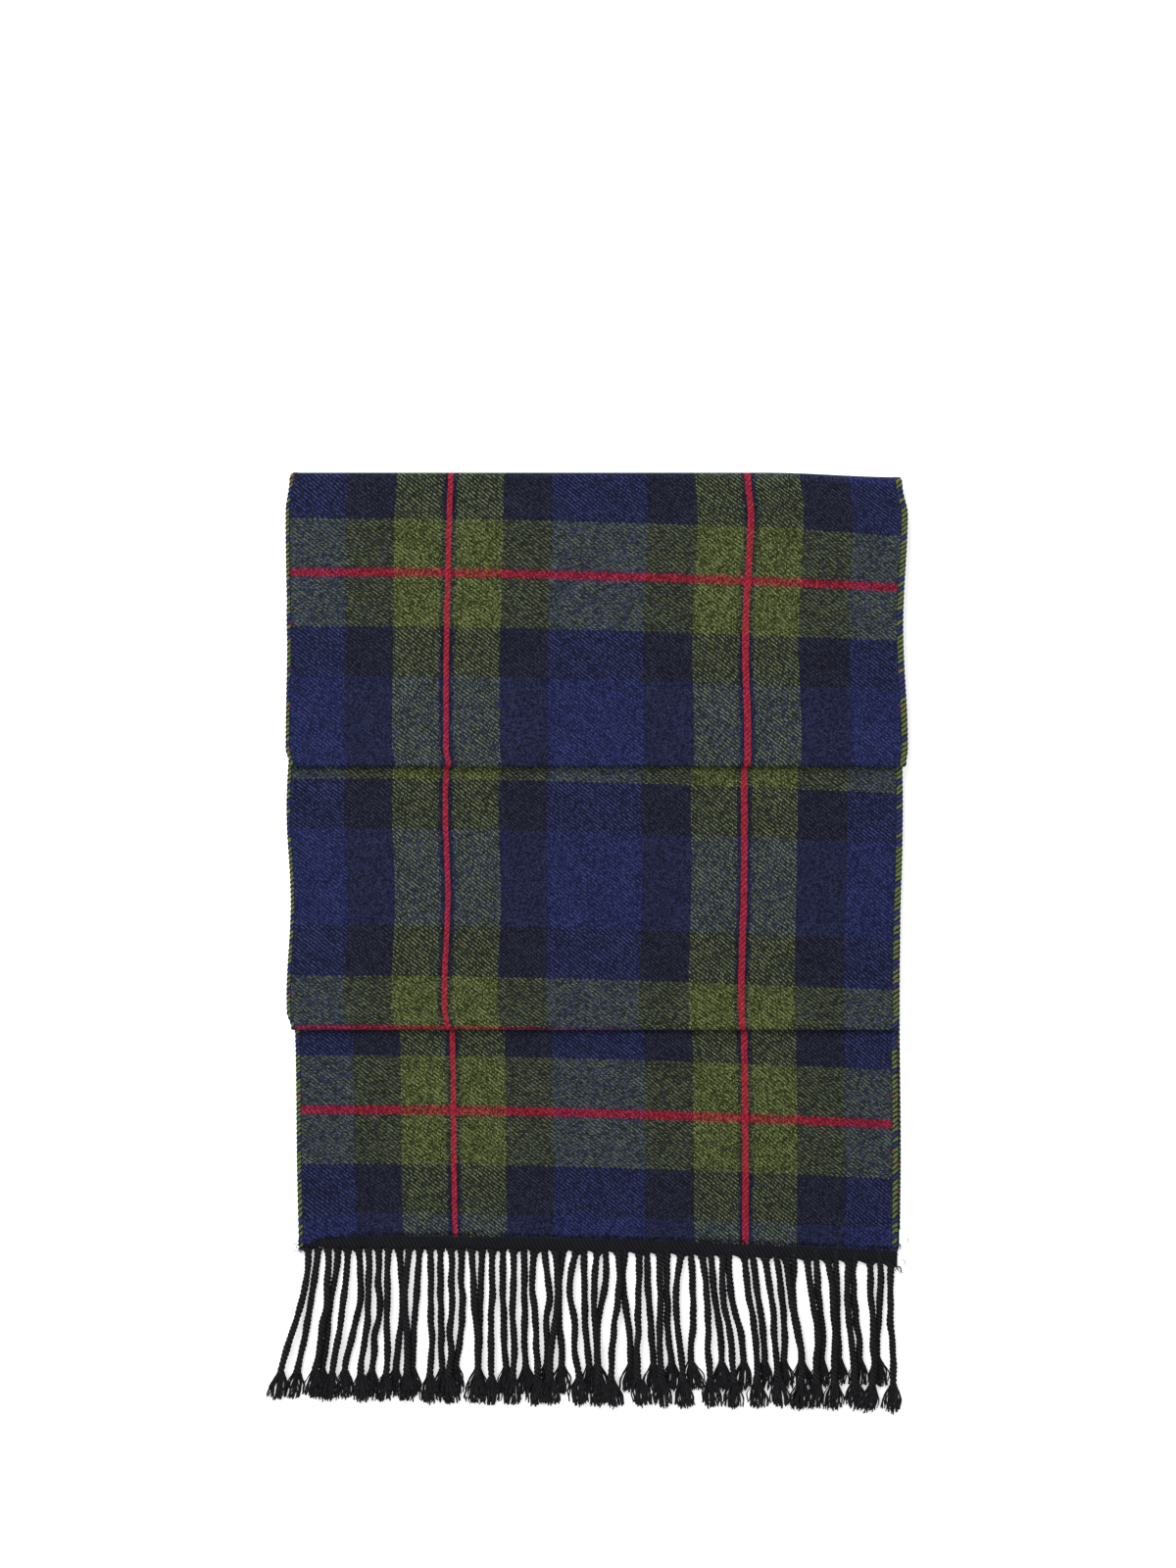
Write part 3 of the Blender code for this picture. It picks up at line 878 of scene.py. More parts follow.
@dataclass
class Pile:
    """Where the cloth lies, read from the frame: its leaves' levels, its folds and its selvedges.

    Attributes:
        thickness: of the cloth.
        spine_y: where the leaves run into the folds at the top edge.
        header_y, header_end_y: where the leaves run into the headers, and where the headers end.
        level_z: the height of each layer's middle.
        tier_y: where the two tier folds join their leaves, by flap from 1.
        sides: the left and the right selvedge of each layer.
    """

    thickness: float = field(init=False)
    spine_y: float = field(init=False)
    header_y: float = field(init=False)
    header_end_y: float = field(init=False)
    level_z: list[float] = field(init=False)
    tier_y: dict[int, float] = field(init=False)
    sides: dict[int, tuple[float, float]] = field(init=False)

    LEAVES = ("back_leaf", "front_leaf", "middle_flap_lower_leaf", "middle_flap_upper_leaf",
              "top_flap_lower_leaf", "top_flap_upper_leaf")

    def __post_init__(self) -> None:
        """Reads the sizes from the CAD nodes' boxes."""
        boxes = [node_box(name) for name in self.LEAVES]
        header = node_box("front_header")
        self.thickness = float(boxes[0][1, 2] - boxes[0][0, 2])
        self.level_z = [float(box[:, 2].mean()) for box in boxes]
        self.spine_y = float(node_box("outer_top_fold")[0, 1])
        self.header_y = float((header[1, 1] + boxes[1][0, 1]) / 2)
        self.header_end_y = float(header[0, 1])
        self.tier_y = {1: float(node_box("middle_flap_edge_fold")[1, 1]),
                       2: float(node_box("top_flap_edge_fold")[1, 1])}
        self.sides = {level: (float(box[0, 0]) + inset + shift_left, float(box[1, 0]) - inset + shift_right)
                      for level, (box, (inset, shift_left, shift_right)) in enumerate(zip(boxes, SIDE_SHIFTS))}

    def sides_at(self, level: float, y: np.ndarray) -> tuple[np.ndarray, np.ndarray]:
        """Gives the selvedges of a layer: straight, with a slow cosine, and drawn in at its folds.

        Args:
            level: which layer; a fold's rows lie between two.
            y: the rows' places.

        Returns:
            The x of the left and of the right selvedge.
        """
        low, high = int(math.floor(level)), int(math.ceil(level))
        mix = level - low
        left, right = ((1 - mix) * self.sides[low][k] + mix * self.sides[high][k] for k in (0, 1))
        fade = smooth((self.spine_y - y) / CORNER_FADE)
        pair = low // 2
        corner = CORNER_INSET * (1 - fade)
        tier = np.zeros(len(y))
        if low == high and pair:
            tier = 1 - smooth((y - self.tier_y[pair]) / TIER_CORNER_FADE)
        taper = END_TAPER * np.clip((self.tier_y[1] - y) / (self.tier_y[1] - self.header_y), 0, 1)
        sways = [sway.size * fade * np.cos(2 * np.pi * (y - sway.crest_y) / sway.length)
                 for sway in SWAYS[pair]]
        return (left + sways[0] + corner + TIER_CORNER_INSET[0] * tier + (0.0 if pair else taper),
                right + sways[1] - corner - TIER_CORNER_INSET[1] * tier)

    def drift_at(self, level: int, y: np.ndarray) -> np.ndarray:
        """Gives how far a flap's warp lines wander sideways: a smooth step, and none in the leaves."""
        if level < 2:
            return np.zeros(len(y))
        return DRIFT_LOW + (DRIFT_HIGH - DRIFT_LOW) * smooth((y - DRIFT_START) / DRIFT_REACH)

    def leaf(self, level: int, low_y: float, high_y: float, heading: int, weft_at_low: float,
             weft_at_high: float, swell: float = 0.0, step: float = ROW_STEP) -> ClothPath:
        """Makes the path of a flat leaf.

        Args:
            level: its layer, 0 at the bottom.
            low_y, high_y: its ends.
            heading: +1 if the cloth runs towards the top fold there, else -1.
            weft_at_low, weft_at_high: the cloth's own coordinate at the two ends.
            swell: how far the leaf stands off beside a fold at its low end, up or down.
            step: the distance between rows.

        Returns:
            The rows, in the order in which the cloth runs.
        """
        rows = max(2, int(math.ceil((high_y - low_y) / step)) + 1)
        y = np.linspace(low_y, high_y, rows)
        if heading < 0:
            y = y[::-1]
        spot = (y - low_y) / (high_y - low_y)
        left, right = self.sides_at(level, y)
        hem = smooth(1 - (y - low_y) / HEM_FADE) if level in HEADER_TILT else np.zeros(rows)
        lie = np.full(rows, self.level_z[level]) + swell * np.exp(-((y - low_y) / FOLD_SWELL_REACH) ** 2)
        up = np.full(rows, float(heading))
        return ClothPath(
            y=y, z=lie, normal_y=np.zeros(rows), normal_z=up,
            weft=weft_at_low + (weft_at_high - weft_at_low) * spot, left=left, right=right, hem=hem,
            top=smooth(1 - (self.spine_y - y) / TOP_FADE),
            wave=smooth((self.spine_y - y) / TOP_FADE) * level / 5, drift=self.drift_at(level, y), heading=up,
            tilt=HEADER_TILT.get(level, 0.0))

    def fold(self, centre_y: float, levels: tuple[int, int], toward: int, face: Face, weft: float,
             swell: tuple[float, float] = (0.0, 0.0), rows: int = ARC_ROWS) -> ClothPath:
        """Makes the path of a half ring from one layer to another: centre plus radius times cosine and sine.

        Args:
            centre_y: where the half ring joins the leaves.
            levels: the layer it starts from and the one it ends on.
            toward: +1 if it bulges towards the top, -1 if towards the fringe.
            face: which side of the cloth is outside.
            weft: the cloth's own coordinate where the half ring starts.
            swell: how far the two leaves stand off there.
            rows: how many rows it has.

        Returns:
            The rows, from the first layer to the second.
        """
        start = self.level_z[levels[0]] + swell[0]
        end = self.level_z[levels[1]] + swell[1]
        centre_z, radius = (start + end) / 2, (end - start) / 2
        turn = np.linspace(-math.pi / 2, math.pi / 2, rows)
        spot = (1 - np.cos(np.linspace(0, math.pi, rows))) / 2
        ends = [self.sides_at(level, np.array([centre_y])) for level in levels]
        drifts = [self.drift_at(level, np.array([centre_y])) for level in levels]
        left, right = (ends[0][k] + (ends[1][k] - ends[0][k]) * spot for k in (0, 1))
        return ClothPath(
            y=centre_y + toward * abs(radius) * np.cos(turn), z=centre_z + radius * np.sin(turn),
            normal_y=toward * face.value * np.cos(turn),
            normal_z=np.sign(radius) * face.value * np.sin(turn),
            weft=weft + abs(radius) * (turn + math.pi / 2), left=left, right=right, hem=np.zeros(rows),
            top=np.full(rows, 1.0 if toward > 0 else 0.0),
            wave=np.full(rows, 0.0 if toward > 0 else max(levels) / 5),
            drift=drifts[0] + (drifts[1] - drifts[0]) * spot, heading=np.zeros(rows))

    def shell(self, path: ClothPath) -> Shell:
        """Wraps the cloth around its path: a flat ring across, half a thickness out on each side.

        The ring runs along the right side, round the selvedge in a half circle and back along the wrong side.

        Args:
            path: the rows.

        Returns:
            The closed shell.
        """
        half = self.thickness / 2
        bend = np.linspace(math.pi / 2, 0, 4)[1:-1]
        flat = np.linspace(0, 1, COLUMNS)
        top_share = np.concatenate((np.zeros(len(bend)), flat, np.ones(len(bend))))
        top_bulge = np.concatenate((-np.cos(bend[::-1]), np.zeros(COLUMNS), np.cos(bend)))
        top_out = np.concatenate((np.sin(bend[::-1]), np.ones(COLUMNS), np.sin(bend)))
        share = np.concatenate((top_share, top_share[::-1]))
        bulge = np.concatenate((top_bulge, top_bulge[::-1]))
        out = np.concatenate((top_out, -top_out[::-1]))
        inset = half * (1 - 2 * share)
        points, uv = path.surface(share[None, :], (inset + half * bulge)[None, :], (half * out)[None, :])
        reverse = np.broadcast_to((out < 0).astype(float), points.shape[:2])
        return Shell.tube(points, uv, reverse)


@dataclass(frozen=True)
class SelvedgeLoops:
    """The strip of turned loops along each side of the cloth.

    A flat bead along the path; slanted ridges, a cosine of the place along less a share of the place across,
    stand up from it and scallop its outer edge.
    """

    widths: dict = field(default_factory=lambda: {Side.LEFT: 2.3 * MM, Side.RIGHT: 3.7 * MM})
    ridge: float = 0.22 * MM
    scallop: float = 0.30 * MM
    proud: float = 0.15 * MM
    overhang: float = 0.25 * MM
    squareness: tuple = (0.75, 0.30)   # powers of the section's cosine and sine: 1 is an ellipse, 0 a box
    rim_start: float = 0.6             # share of the width past which the outer edge is scalloped
    ring: int = 18
    step: float = 0.35 * MM

    def shell(self, pile: Pile, path: ClothPath, side: Side) -> Shell:
        """Makes one strip along a finely stepped path."""
        width = self.widths[side]
        turn = 2 * np.pi * (np.arange(self.ring) + 0.5) / self.ring
        round_x = np.sign(np.cos(turn)) * np.abs(np.cos(turn)) ** self.squareness[0]
        round_out = np.sign(np.sin(turn)) * np.abs(np.sin(turn)) ** self.squareness[1]
        from_edge = (round_x * side.value + side.value) / 2 * width * side.value
        across = from_edge[None, :]                       # 0 at the strip's inner edge, width at its outer
        along = path.weft[:, None]
        wave = 0.5 + 0.5 * np.cos(2 * np.pi * (along - LOOP_SLANT * side.value * across) / LOOP_PITCH)
        rim = smooth((across / width - self.rim_start) / (1 - self.rim_start))
        out = round_out[None, :] * (pile.thickness / 2 + self.proud + self.ridge * (wave - 0.5))
        x = side.value * (across - width + self.overhang + self.scallop * wave * rim)
        share = np.full((len(path.y), self.ring), 0.0 if side is Side.LEFT else 1.0)
        points, _ = path.surface(share, x, out)
        points[..., 2] = np.maximum(points[..., 2], FLOOR_GAP)
        uv = np.stack(np.broadcast_arrays(across * side.value, along), -1)
        return Shell.tube(points, uv)


@dataclass
class ClothPiece:
    """One stretch of the cloth that moves as a piece, with its selvedges.

    Attributes:
        name: of the piece, after "cloth_".
        nodes: the CAD nodes that it stands for.
        rows: its path at the leaf's step.
        fine_rows: its path at the selvedge's step.
    """

    name: str
    nodes: tuple[str, ...]
    rows: ClothPath
    fine_rows: ClothPath
    cloth: bpy.types.Object = field(init=False)
    loops: bpy.types.Object = field(init=False)

    def build(self, pile: Pile, finishes: Finishes) -> None:
        """Makes the cloth and the two strips of loops."""
        self.cloth = pile.shell(self.rows).to_object(f"cloth_{self.name}", finishes.check)
        strip = SelvedgeLoops()
        sides = [strip.shell(pile, self.fine_rows, side) for side in Side]
        self.loops = Shell.joined(sides).to_object(f"selvedge_{self.name}", finishes.selvedge, 70.0)
        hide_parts(*self.nodes)

    def declare(self, rests_on: Sequence["ClothPiece"], extra: Sequence[bpy.types.Object] = ()) -> None:
        """Args:
            rests_on: the pieces that it lies on; not used.
            extra: further pieces that belong to it, such as its header and fringe; not used.
        """
        width = float((self.rows.right - self.rows.left).mean())
        steps = np.hypot(np.diff(self.rows.y), np.diff(self.rows.z))

    def ride(self, body: str) -> None:
        """Carries the piece on a body."""
        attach(self.cloth, body)
        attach(self.loops, body)

    def blend(self, lower: str, upper: str, low_z: float, high_z: float, y: float) -> None:
        """Bakes the placement of the piece's cloth and loops into their meshes."""
        for obj in (self.cloth, self.loops):
            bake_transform(obj)


@dataclass
class FoldedCloth:
    """The whole length of cloth: six leaves, two tier folds and three folds at the top edge."""

    pile: Pile
    finishes: Finishes
    pieces: dict[str, ClothPiece] = field(default_factory=dict)

    def path_set(self, step: float, arc_rows: int) -> dict[str, ClothPath]:
        """Works out every stretch of the path, from the front header to the back one.

        The red lines fix the cloth's own coordinate at the two tier folds and on the top tier; the hidden
        lower leaf of the middle flap takes up the difference, and the hidden leaves run on from the tiers.

        Args:
            step: distance between a leaf's rows.
            arc_rows: rows round a fold.

        Returns:
            The stretches by name.
        """
        pile = self.pile
        spine, header = pile.spine_y, pile.header_y
        middle_y, top_y = pile.tier_y[1], pile.tier_y[2]
        swell, press = FOLD_SWELL, -FOLD_PRESS
        half_turn = math.pi * (pile.level_z[1] - pile.level_z[0]) / 2
        swollen_turn = half_turn + math.pi * (FOLD_SWELL + FOLD_PRESS) / 2
        outer_turn = math.pi * (pile.level_z[5] - pile.level_z[0]) / 2

        front_high = spine - header - HEM_LIFT
        middle_fold = FIRST_RED_WEFT + TIER_REDS["middle"] * SETT - RED_BELOW_FOLD
        middle_turn_start = middle_fold - swollen_turn / 2
        middle_turn_end = middle_fold + swollen_turn / 2
        upper_high = middle_turn_end + spine - middle_y
        top_red = FIRST_RED_WEFT + TIER_REDS["top"] * SETT
        top_turn_end = top_red - (TOP_RED_Y - top_y)
        top_turn_start = top_turn_end - swollen_turn
        lower_high = top_turn_start - (spine - top_y)
        crest = top_turn_end + spine - top_y
        back_high = crest + outer_turn
        back_low = back_high + spine - header

        def leaf(level: int, low_y: float, heading: int, at_low: float, at_high: float,
                 off: float = 0.0) -> ClothPath:
            """Makes a leaf that ends at the top folds."""
            return pile.leaf(level, low_y, spine, heading, at_low, at_high, off, step)

        middle = ClothPath.chained((
            leaf(2, middle_y, -1, middle_turn_start, front_high + half_turn, press),
            pile.fold(middle_y, (2, 3), -1, Face.OUTWARDS, middle_turn_start, (press, swell), arc_rows),
            leaf(3, middle_y, 1, middle_turn_end, upper_high, swell)))
        top = ClothPath.chained((
            leaf(4, top_y, -1, top_turn_start, lower_high, press),
            pile.fold(top_y, (4, 5), -1, Face.OUTWARDS, top_turn_start, (press, swell), arc_rows),
            leaf(5, top_y, 1, top_turn_end, crest, swell)))
        return {
            "front_leaf": leaf(1, header, 1, -HEM_LIFT, front_high),
            "lower_inner_fold": pile.fold(spine, (1, 2), 1, Face.INWARDS, front_high, rows=arc_rows),
            "middle_flap": middle,
            "upper_inner_fold": pile.fold(spine, (3, 4), 1, Face.INWARDS, upper_high, rows=arc_rows),
            "top_flap": top,
            "outer_top_fold": pile.fold(spine, (5, 0), 1, Face.OUTWARDS, crest, rows=arc_rows),
            "back_leaf": leaf(0, header, -1, back_low, back_high)}

    def build(self) -> None:
        """Builds the seven stretches with their selvedges."""
        nodes = {"middle_flap": ("middle_flap_lower_leaf", "middle_flap_edge_fold", "middle_flap_upper_leaf"),
                 "top_flap": ("top_flap_lower_leaf", "top_flap_edge_fold", "top_flap_upper_leaf")}
        coarse = self.path_set(ROW_STEP, ARC_ROWS)
        fine = self.path_set(SelvedgeLoops().step, ARC_ROWS)
        for name, rows in coarse.items():
            piece = ClothPiece(name, nodes.get(name, (name,)), rows, fine[name])
            piece.build(self.pile, self.finishes)
            self.pieces[name] = piece

    def move(self) -> None:
        """Carries the leaves on their bodies, and bakes the folds' placement into their meshes."""
        half = self.pile.thickness / 2
        levels, spine = self.pile.level_z, self.pile.spine_y
        for name in ("front_leaf", "middle_flap", "top_flap", "back_leaf"):
            self.pieces[name].ride(name)
        bends = {"outer_top_fold": ("back_leaf", "top_flap", levels[0] + half, levels[5] - half),
                 "upper_inner_fold": ("top_flap", "middle_flap", levels[4] - half, levels[3] + half),
                 "lower_inner_fold": ("middle_flap", "front_leaf", levels[2] - half, levels[1] + half)}
        for name, (first, second, start, end) in bends.items():
            self.pieces[name].blend(first, second, start, end, spine)

    def declare(self, extras: dict[str, list[bpy.types.Object]]) -> None:
        """Hands each stretch that is long enough the pieces that it lies on and those that go with it, the two
        short inner folds going with a neighbour; a stretch keeps none of it.

        Args:
            extras: headers and tassels, by the leaf that they end.
        """
        pieces = self.pieces
        lies_on = {"back_leaf": (), "front_leaf": ("back_leaf",), "middle_flap": ("front_leaf",),
                   "top_flap": ("middle_flap",), "outer_top_fold": ()}
        inner_folds = {"front_leaf": "lower_inner_fold", "middle_flap": "upper_inner_fold"}
        for name, below in lies_on.items():
            extra = list(extras.get(name, ()))
            if name in inner_folds:
                extra += [pieces[inner_folds[name]].cloth, pieces[inner_folds[name]].loops]
            pieces[name].declare([pieces[other] for other in below], extra)


# ---- Headers --------------------------------------------------------------------------------------------
@dataclass
class Header:
    """The fuzzy black band that ends the cloth: a thin pillow with slanted ribs and a ragged upper edge.

    Its height is a flat dome across its depth plus a cosine rib; its upper edge adds three short sines.
    """

    row: Row
    level: int                         # of the leaf that it ends
    overlap: float = 1.7 * MM          # how far it reaches over the cloth
    end_rise: float = 1.6 * MM         # of the lower edge at its left end, and its fall at the right
    rib: float = 0.16 * MM
    proud: float = 0.20 * MM
    ragged: float = 0.40 * MM
    ragged_waves: tuple = ((1.0, 3.1 * MM, 0), (1.0, 7.3 * MM, 1), (0.8, 19.5 * MM, 2))   # size, length, phase
    fuzz: int = 900                    # fibres along the upper edge
    strays: int = 9                    # fibres at each corner
    tooth: float = 2.3 * MM            # depth of the lower edge's teeth
    tooth_margin: float = 4.0 * MM
    teeth: int = 28
    columns: int = 900
    depth_rows: int = 15
    obj: bpy.types.Object = field(init=False)

    def line(self, share: np.ndarray) -> np.ndarray:
        """Gives how far the header lies from its CAD place at a share of the width: lift plus slant."""
        return HEM_LIFT + HEADER_TILT[self.level] * weft_bow(share)

    def place(self, pile: Pile, x: np.ndarray) -> np.ndarray:
        """Gives the y of the header's lower edge at an x."""
        left, right = pile.sides[self.level]
        return pile.header_end_y + self.line(np.clip((x - left) / (right - left), 0, 1))

    def teeth_depth(self, share: np.ndarray, x: np.ndarray, left: float, right: float) -> np.ndarray:
        """Gives how far the lower edge runs down towards the tassels' roots.

        From a back tassel to the next front one it drops by a power of the place between them, and from the
        front one it rises again in a straight line; the teeth grow from left to right.

        Args:
            share: place across the header, 0 to 1.
            x: the same in metres.
            left, right: the header's ends.

        Returns:
            The depth in metres.
        """
        spacing = (right - left - 2 * self.tooth_margin) / self.teeth
        turn = (x - left - self.tooth_margin) / spacing % 1.0
        behind = PAIRED + (0.5 - PAIRED) * (1 - paired_part(share))
        falling = np.maximum((turn - behind) / (1 - behind), 0) ** 1.4
        drop = np.where(turn > behind, falling, 1 - 0.65 * turn / behind)
        return self.tooth * (0.45 + 0.55 * smooth(share / 0.6)) * drop

    def build(self, pile: Pile, finishes: Finishes) -> None:
        """Makes the band as rings around its depth, one ring a column."""
        left, right = pile.sides_at(self.level, np.array([pile.header_y]))
        share = np.linspace(0, 1, self.columns)
        x = left[0] + (right[0] - left[0]) * share
        depth = pile.header_y + self.overlap - pile.header_end_y
        ragged = self.ragged * sum(part * np.sin(2 * np.pi * x / length + phase)
                                   for part, length, phase in self.ragged_waves) / 2
        upper = pile.header_y + self.overlap + self.line(share) + ragged - corner_sag(share)
        lower = pile.header_end_y + self.line(share) + 0.6 * self.tooth
        lower = lower + self.end_rise * (np.exp(-share / 0.02) - np.exp((share - 1) / 0.02))
        lower = lower - self.teeth_depth(share, x, left[0], right[0])
        down = np.linspace(0, 1, self.depth_rows)
        dome = np.clip(1 - np.abs(2 * down - 1) ** 3.5, 0.02, None) ** 0.5
        end = np.clip(np.minimum(share, 1 - share) / 0.006, 0.15, 1) ** 0.5
        y = upper[:, None] + (lower - upper)[:, None] * down[None, :]
        ribs = self.rib * np.cos(2 * np.pi * (x[:, None] + HEADER_RIB_SLANT * y) / HEADER_RIB_PITCH)
        half = (pile.thickness / 2 + self.proud + ribs) * dome[None, :] * end[:, None]
        middle = pile.level_z[self.level] + np.zeros_like(y)
        columns = np.broadcast_to(x[:, None], y.shape)
        top = np.stack((columns, y, middle + half), -1)
        bottom = np.stack((columns, y, np.maximum(middle - half, FLOOR_GAP)), -1)[:, ::-1]
        uv = np.stack((columns, y), -1)
        band = Shell.tube(np.concatenate((top, bottom), 1), np.concatenate((uv, uv[:, ::-1]), 1))
        shell = Shell.joined((band, self.fuzz_fibres(pile, x, upper), self.stray_fibres(pile, x, lower)))
        self.obj = shell.to_object(f"{self.row.value}_header_band", finishes.header, 60.0)
        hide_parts(f"{self.row.value}_header")
        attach(self.obj, f"{self.row.value}_leaf")
        LOG.info("%s header: %.1f mm deep", self.row.value, depth / MM)

    def fuzz_fibres(self, pile: Pile, x: np.ndarray, upper: np.ndarray) -> Shell:
        """Stands short fibres along the upper edge, which reach over the cloth.

        Each is an arc: its heading leans from the pile's axis by its own angle plus its own turn times the place
        along it, and its height over the cloth rises and falls with a half sine.

        Args:
            pile: the cloth's sizes.
            x: places along the header.
            upper: the y of its upper edge there.

        Returns:
            The fibres.
        """
        rng = np.random.default_rng(40 + self.level)
        at = rng.uniform(x[0], x[-1], self.fuzz)
        length = rng.uniform(0.9, 2.3, self.fuzz) * MM
        lean = rng.normal(0, 0.75, self.fuzz)
        t = np.linspace(0, 1, 4)[None, :]
        heading = lean[:, None] + rng.normal(0, 0.9, self.fuzz)[:, None] * t
        places = np.stack((at[:, None] + length[:, None] * t * np.sin(heading),
                           np.interp(at, x, upper)[:, None] - 0.7 * MM + length[:, None] * t * np.cos(heading),
                           pile.level_z[self.level] + pile.thickness / 2 + 0.1 * MM
                           + 0.22 * MM * np.sin(np.pi * t) * rng.uniform(0.4, 1.0, self.fuzz)[:, None]), -1)
        return loose_yarns(places, np.full((self.fuzz, 4), 0.10 * MM))

    def stray_fibres(self, pile: Pile, x: np.ndarray, lower: np.ndarray) -> Shell:
        """Leaves a few curled fibres at the two lower corners, where the last weft was cut.

        A fibre heads outwards and down, and turns by its own angle times a power of the place along it.

        Args:
            pile: the cloth's sizes.
            x: places along the header.
            lower: the y of its lower edge there.

        Returns:
            The fibres.
        """
        rng = np.random.default_rng(70 + self.level)
        t = np.linspace(0, 1, 10)
        fibres = []
        for side, end in ((-1, 0), (1, -1)):
            length = rng.uniform(4.0, 8.0, self.strays) * MM
            heading = (rng.uniform(-0.5, 1.4, self.strays)[:, None]
                       + rng.normal(0, 2.2, self.strays)[:, None] * t[None, :] ** 1.3)
            step = length[:, None] / len(t)
            outwards = np.cumsum(np.sin(heading) * step, 1)
            across = x[end] + side * (outwards - rng.uniform(0, 3.5, self.strays)[:, None] * MM)
            down = lower[end] + 0.8 * MM - np.cumsum(np.cos(heading) * step, 1)
            height = np.broadcast_to(pile.level_z[self.level] + 0.5 * MM - 0.3 * MM * t, across.shape)
            fibres.append(np.stack((across, down, height), -1))
        places = np.concatenate(fibres)
        return loose_yarns(places, np.full(places.shape[:2], 0.19 * MM))


# ---- Fringe ---------------------------------------------------------------------------------------------
@dataclass(frozen=True)
class TwistedTassel:
    """One tassel: a cord of three plies twisted together, and the loose brush that it opens into.

    Attributes:
        root: where it leaves the header.
        tip: the middle of its brush's end.
        bow: how far its middle lies off the smooth line from root to tip.
        seed: of its small irregularities.
        mid_z: the height of its middle while it lies on whatever is under it.
        brush_z: the height of its brush's middle.
    """

    root: tuple[float, float, float]
    tip: tuple[float, float]
    bow: float
    seed: int
    mid_z: float
    brush_z: float
    radius: float = CORD_RADIUS
    ply_depth: float = 0.24
    twist_pitch: float = 6.6 * MM
    plies: int = CORD_PLIES
    ring: int = 18
    step: float = 0.46 * MM
    brush: float = 13.5 * MM
    brush_half_width: float = 4.9 * MM
    brush_half_height: float = 0.95 * MM
    strands: int = 32
    strand_radius: float = 0.46 * MM
    flare: float = 0.75
    flare_reach: float = 3.6 * MM
    wander: tuple = ((3.3, 0.42), (6.1, 0.22), (10.7, 0.10))   # half waves from root to tip, and mm sideways
    tuck: float = 0.05                                         # how far the cord runs on into its brush

    def centre(self, t: np.ndarray) -> np.ndarray:
        """Gives the tassel's centreline.

        t runs from 0 at the root to 1 at the tip. x eases from root to tip by a smooth step, plus a half sine
        for the bow, a smaller full sine and three small quicker ones; y runs evenly; z settles to mid_z over
        the first third.

        Args:
            t: places along the tassel.

        Returns:
            Points, n by 3.
        """
        rng = np.random.default_rng(self.seed)
        ripple = rng.normal(0, 0.9) * MM
        x = (self.root[0] + (self.tip[0] - self.root[0]) * smooth(t) + self.bow * np.sin(np.pi * t)
             + ripple * np.sin(2 * np.pi * t))
        for waves, size in self.wander:
            height = rng.normal(0, size) * MM
            x = x + height * np.sin(waves * np.pi * t + rng.uniform(0, 6.3)) * np.sin(np.pi * t)
        y = self.root[1] + (self.tip[1] - self.root[1]) * t
        z = self.root[2] + (self.mid_z - self.root[2]) * smooth(t / 0.3)
        neck = 1 - self.brush / (self.root[1] - self.tip[1])
        z = z + (self.brush_z - self.mid_z) * smooth((t - neck + 0.1) / (1.1 - neck))
        return np.stack((x, y, z), -1)

    def cord(self) -> Shell:
        """Sweeps the plied section along the centreline.

        The section's radius is the cord's, less a dip between plies: the size of the cosine of half the plies
        times the angle from the twist. It flares sideways at the root and narrows into the brush.

        Returns:
            The closed cord.
        """
        length = self.root[1] - self.tip[1]
        neck = 1 - self.brush / length
        stations = int(length * (neck + self.tuck) / self.step)
        t = np.linspace(0, neck + self.tuck, stations)
        middle = self.centre(t)
        along = np.concatenate(([0], np.cumsum(np.linalg.norm(np.diff(middle, axis=0), axis=1))))
        heading = np.gradient(middle, axis=0)
        heading /= np.linalg.norm(heading, axis=1)[:, None]
        side = np.stack((-heading[:, 1], heading[:, 0], np.zeros(stations)), -1)
        side /= np.linalg.norm(side, axis=1)[:, None]
        up = np.cross(side, heading)
        turn = 2 * np.pi * (np.arange(self.ring) + 0.5) / self.ring
        start = np.random.default_rng(self.seed + 7).uniform(0, 2 * np.pi)
        twist = start + 2 * np.pi * along / self.twist_pitch
        twist = twist + 0.45 * np.sin(along / (5.1 * MM) + start) + 0.25 * np.sin(along / (2.3 * MM))
        twist = twist[:, None]
        lobes = np.abs(np.cos(self.plies * (turn[None, :] - twist) / 2))
        knobs = 1 + 0.05 * np.sin(along / (1.9 * MM) + start) + 0.05 * np.sin(along / (4.3 * MM) + 2 * start)
        radius = self.radius * knobs[:, None] * (1 - self.ply_depth + 2 * self.ply_depth * lobes ** 0.8)
        ends = np.clip(1 - (t - neck) / self.tuck, 0.35, 1)[:, None]
        at_root = np.clip(1 - along / self.flare_reach, 0, 1)[:, None]
        flare = 1 + self.flare * at_root ** 1.5
        squeeze = 1 - 0.35 * at_root
        sideways = radius * flare * ends * np.cos(turn)[None, :]
        upwards = radius * squeeze * ends * np.sin(turn)[None, :]
        rings = middle[:, None] + sideways[..., None] * side[:, None] + upwards[..., None] * up[:, None]
        rings[..., 2] = np.maximum(rings[..., 2], FLOOR_GAP)
        yarn = (turn[None, :] - twist) * self.radius
        uv = np.stack((yarn, np.broadcast_to(along[:, None], yarn.shape)), -1)
        return Shell.tube(rings, uv)

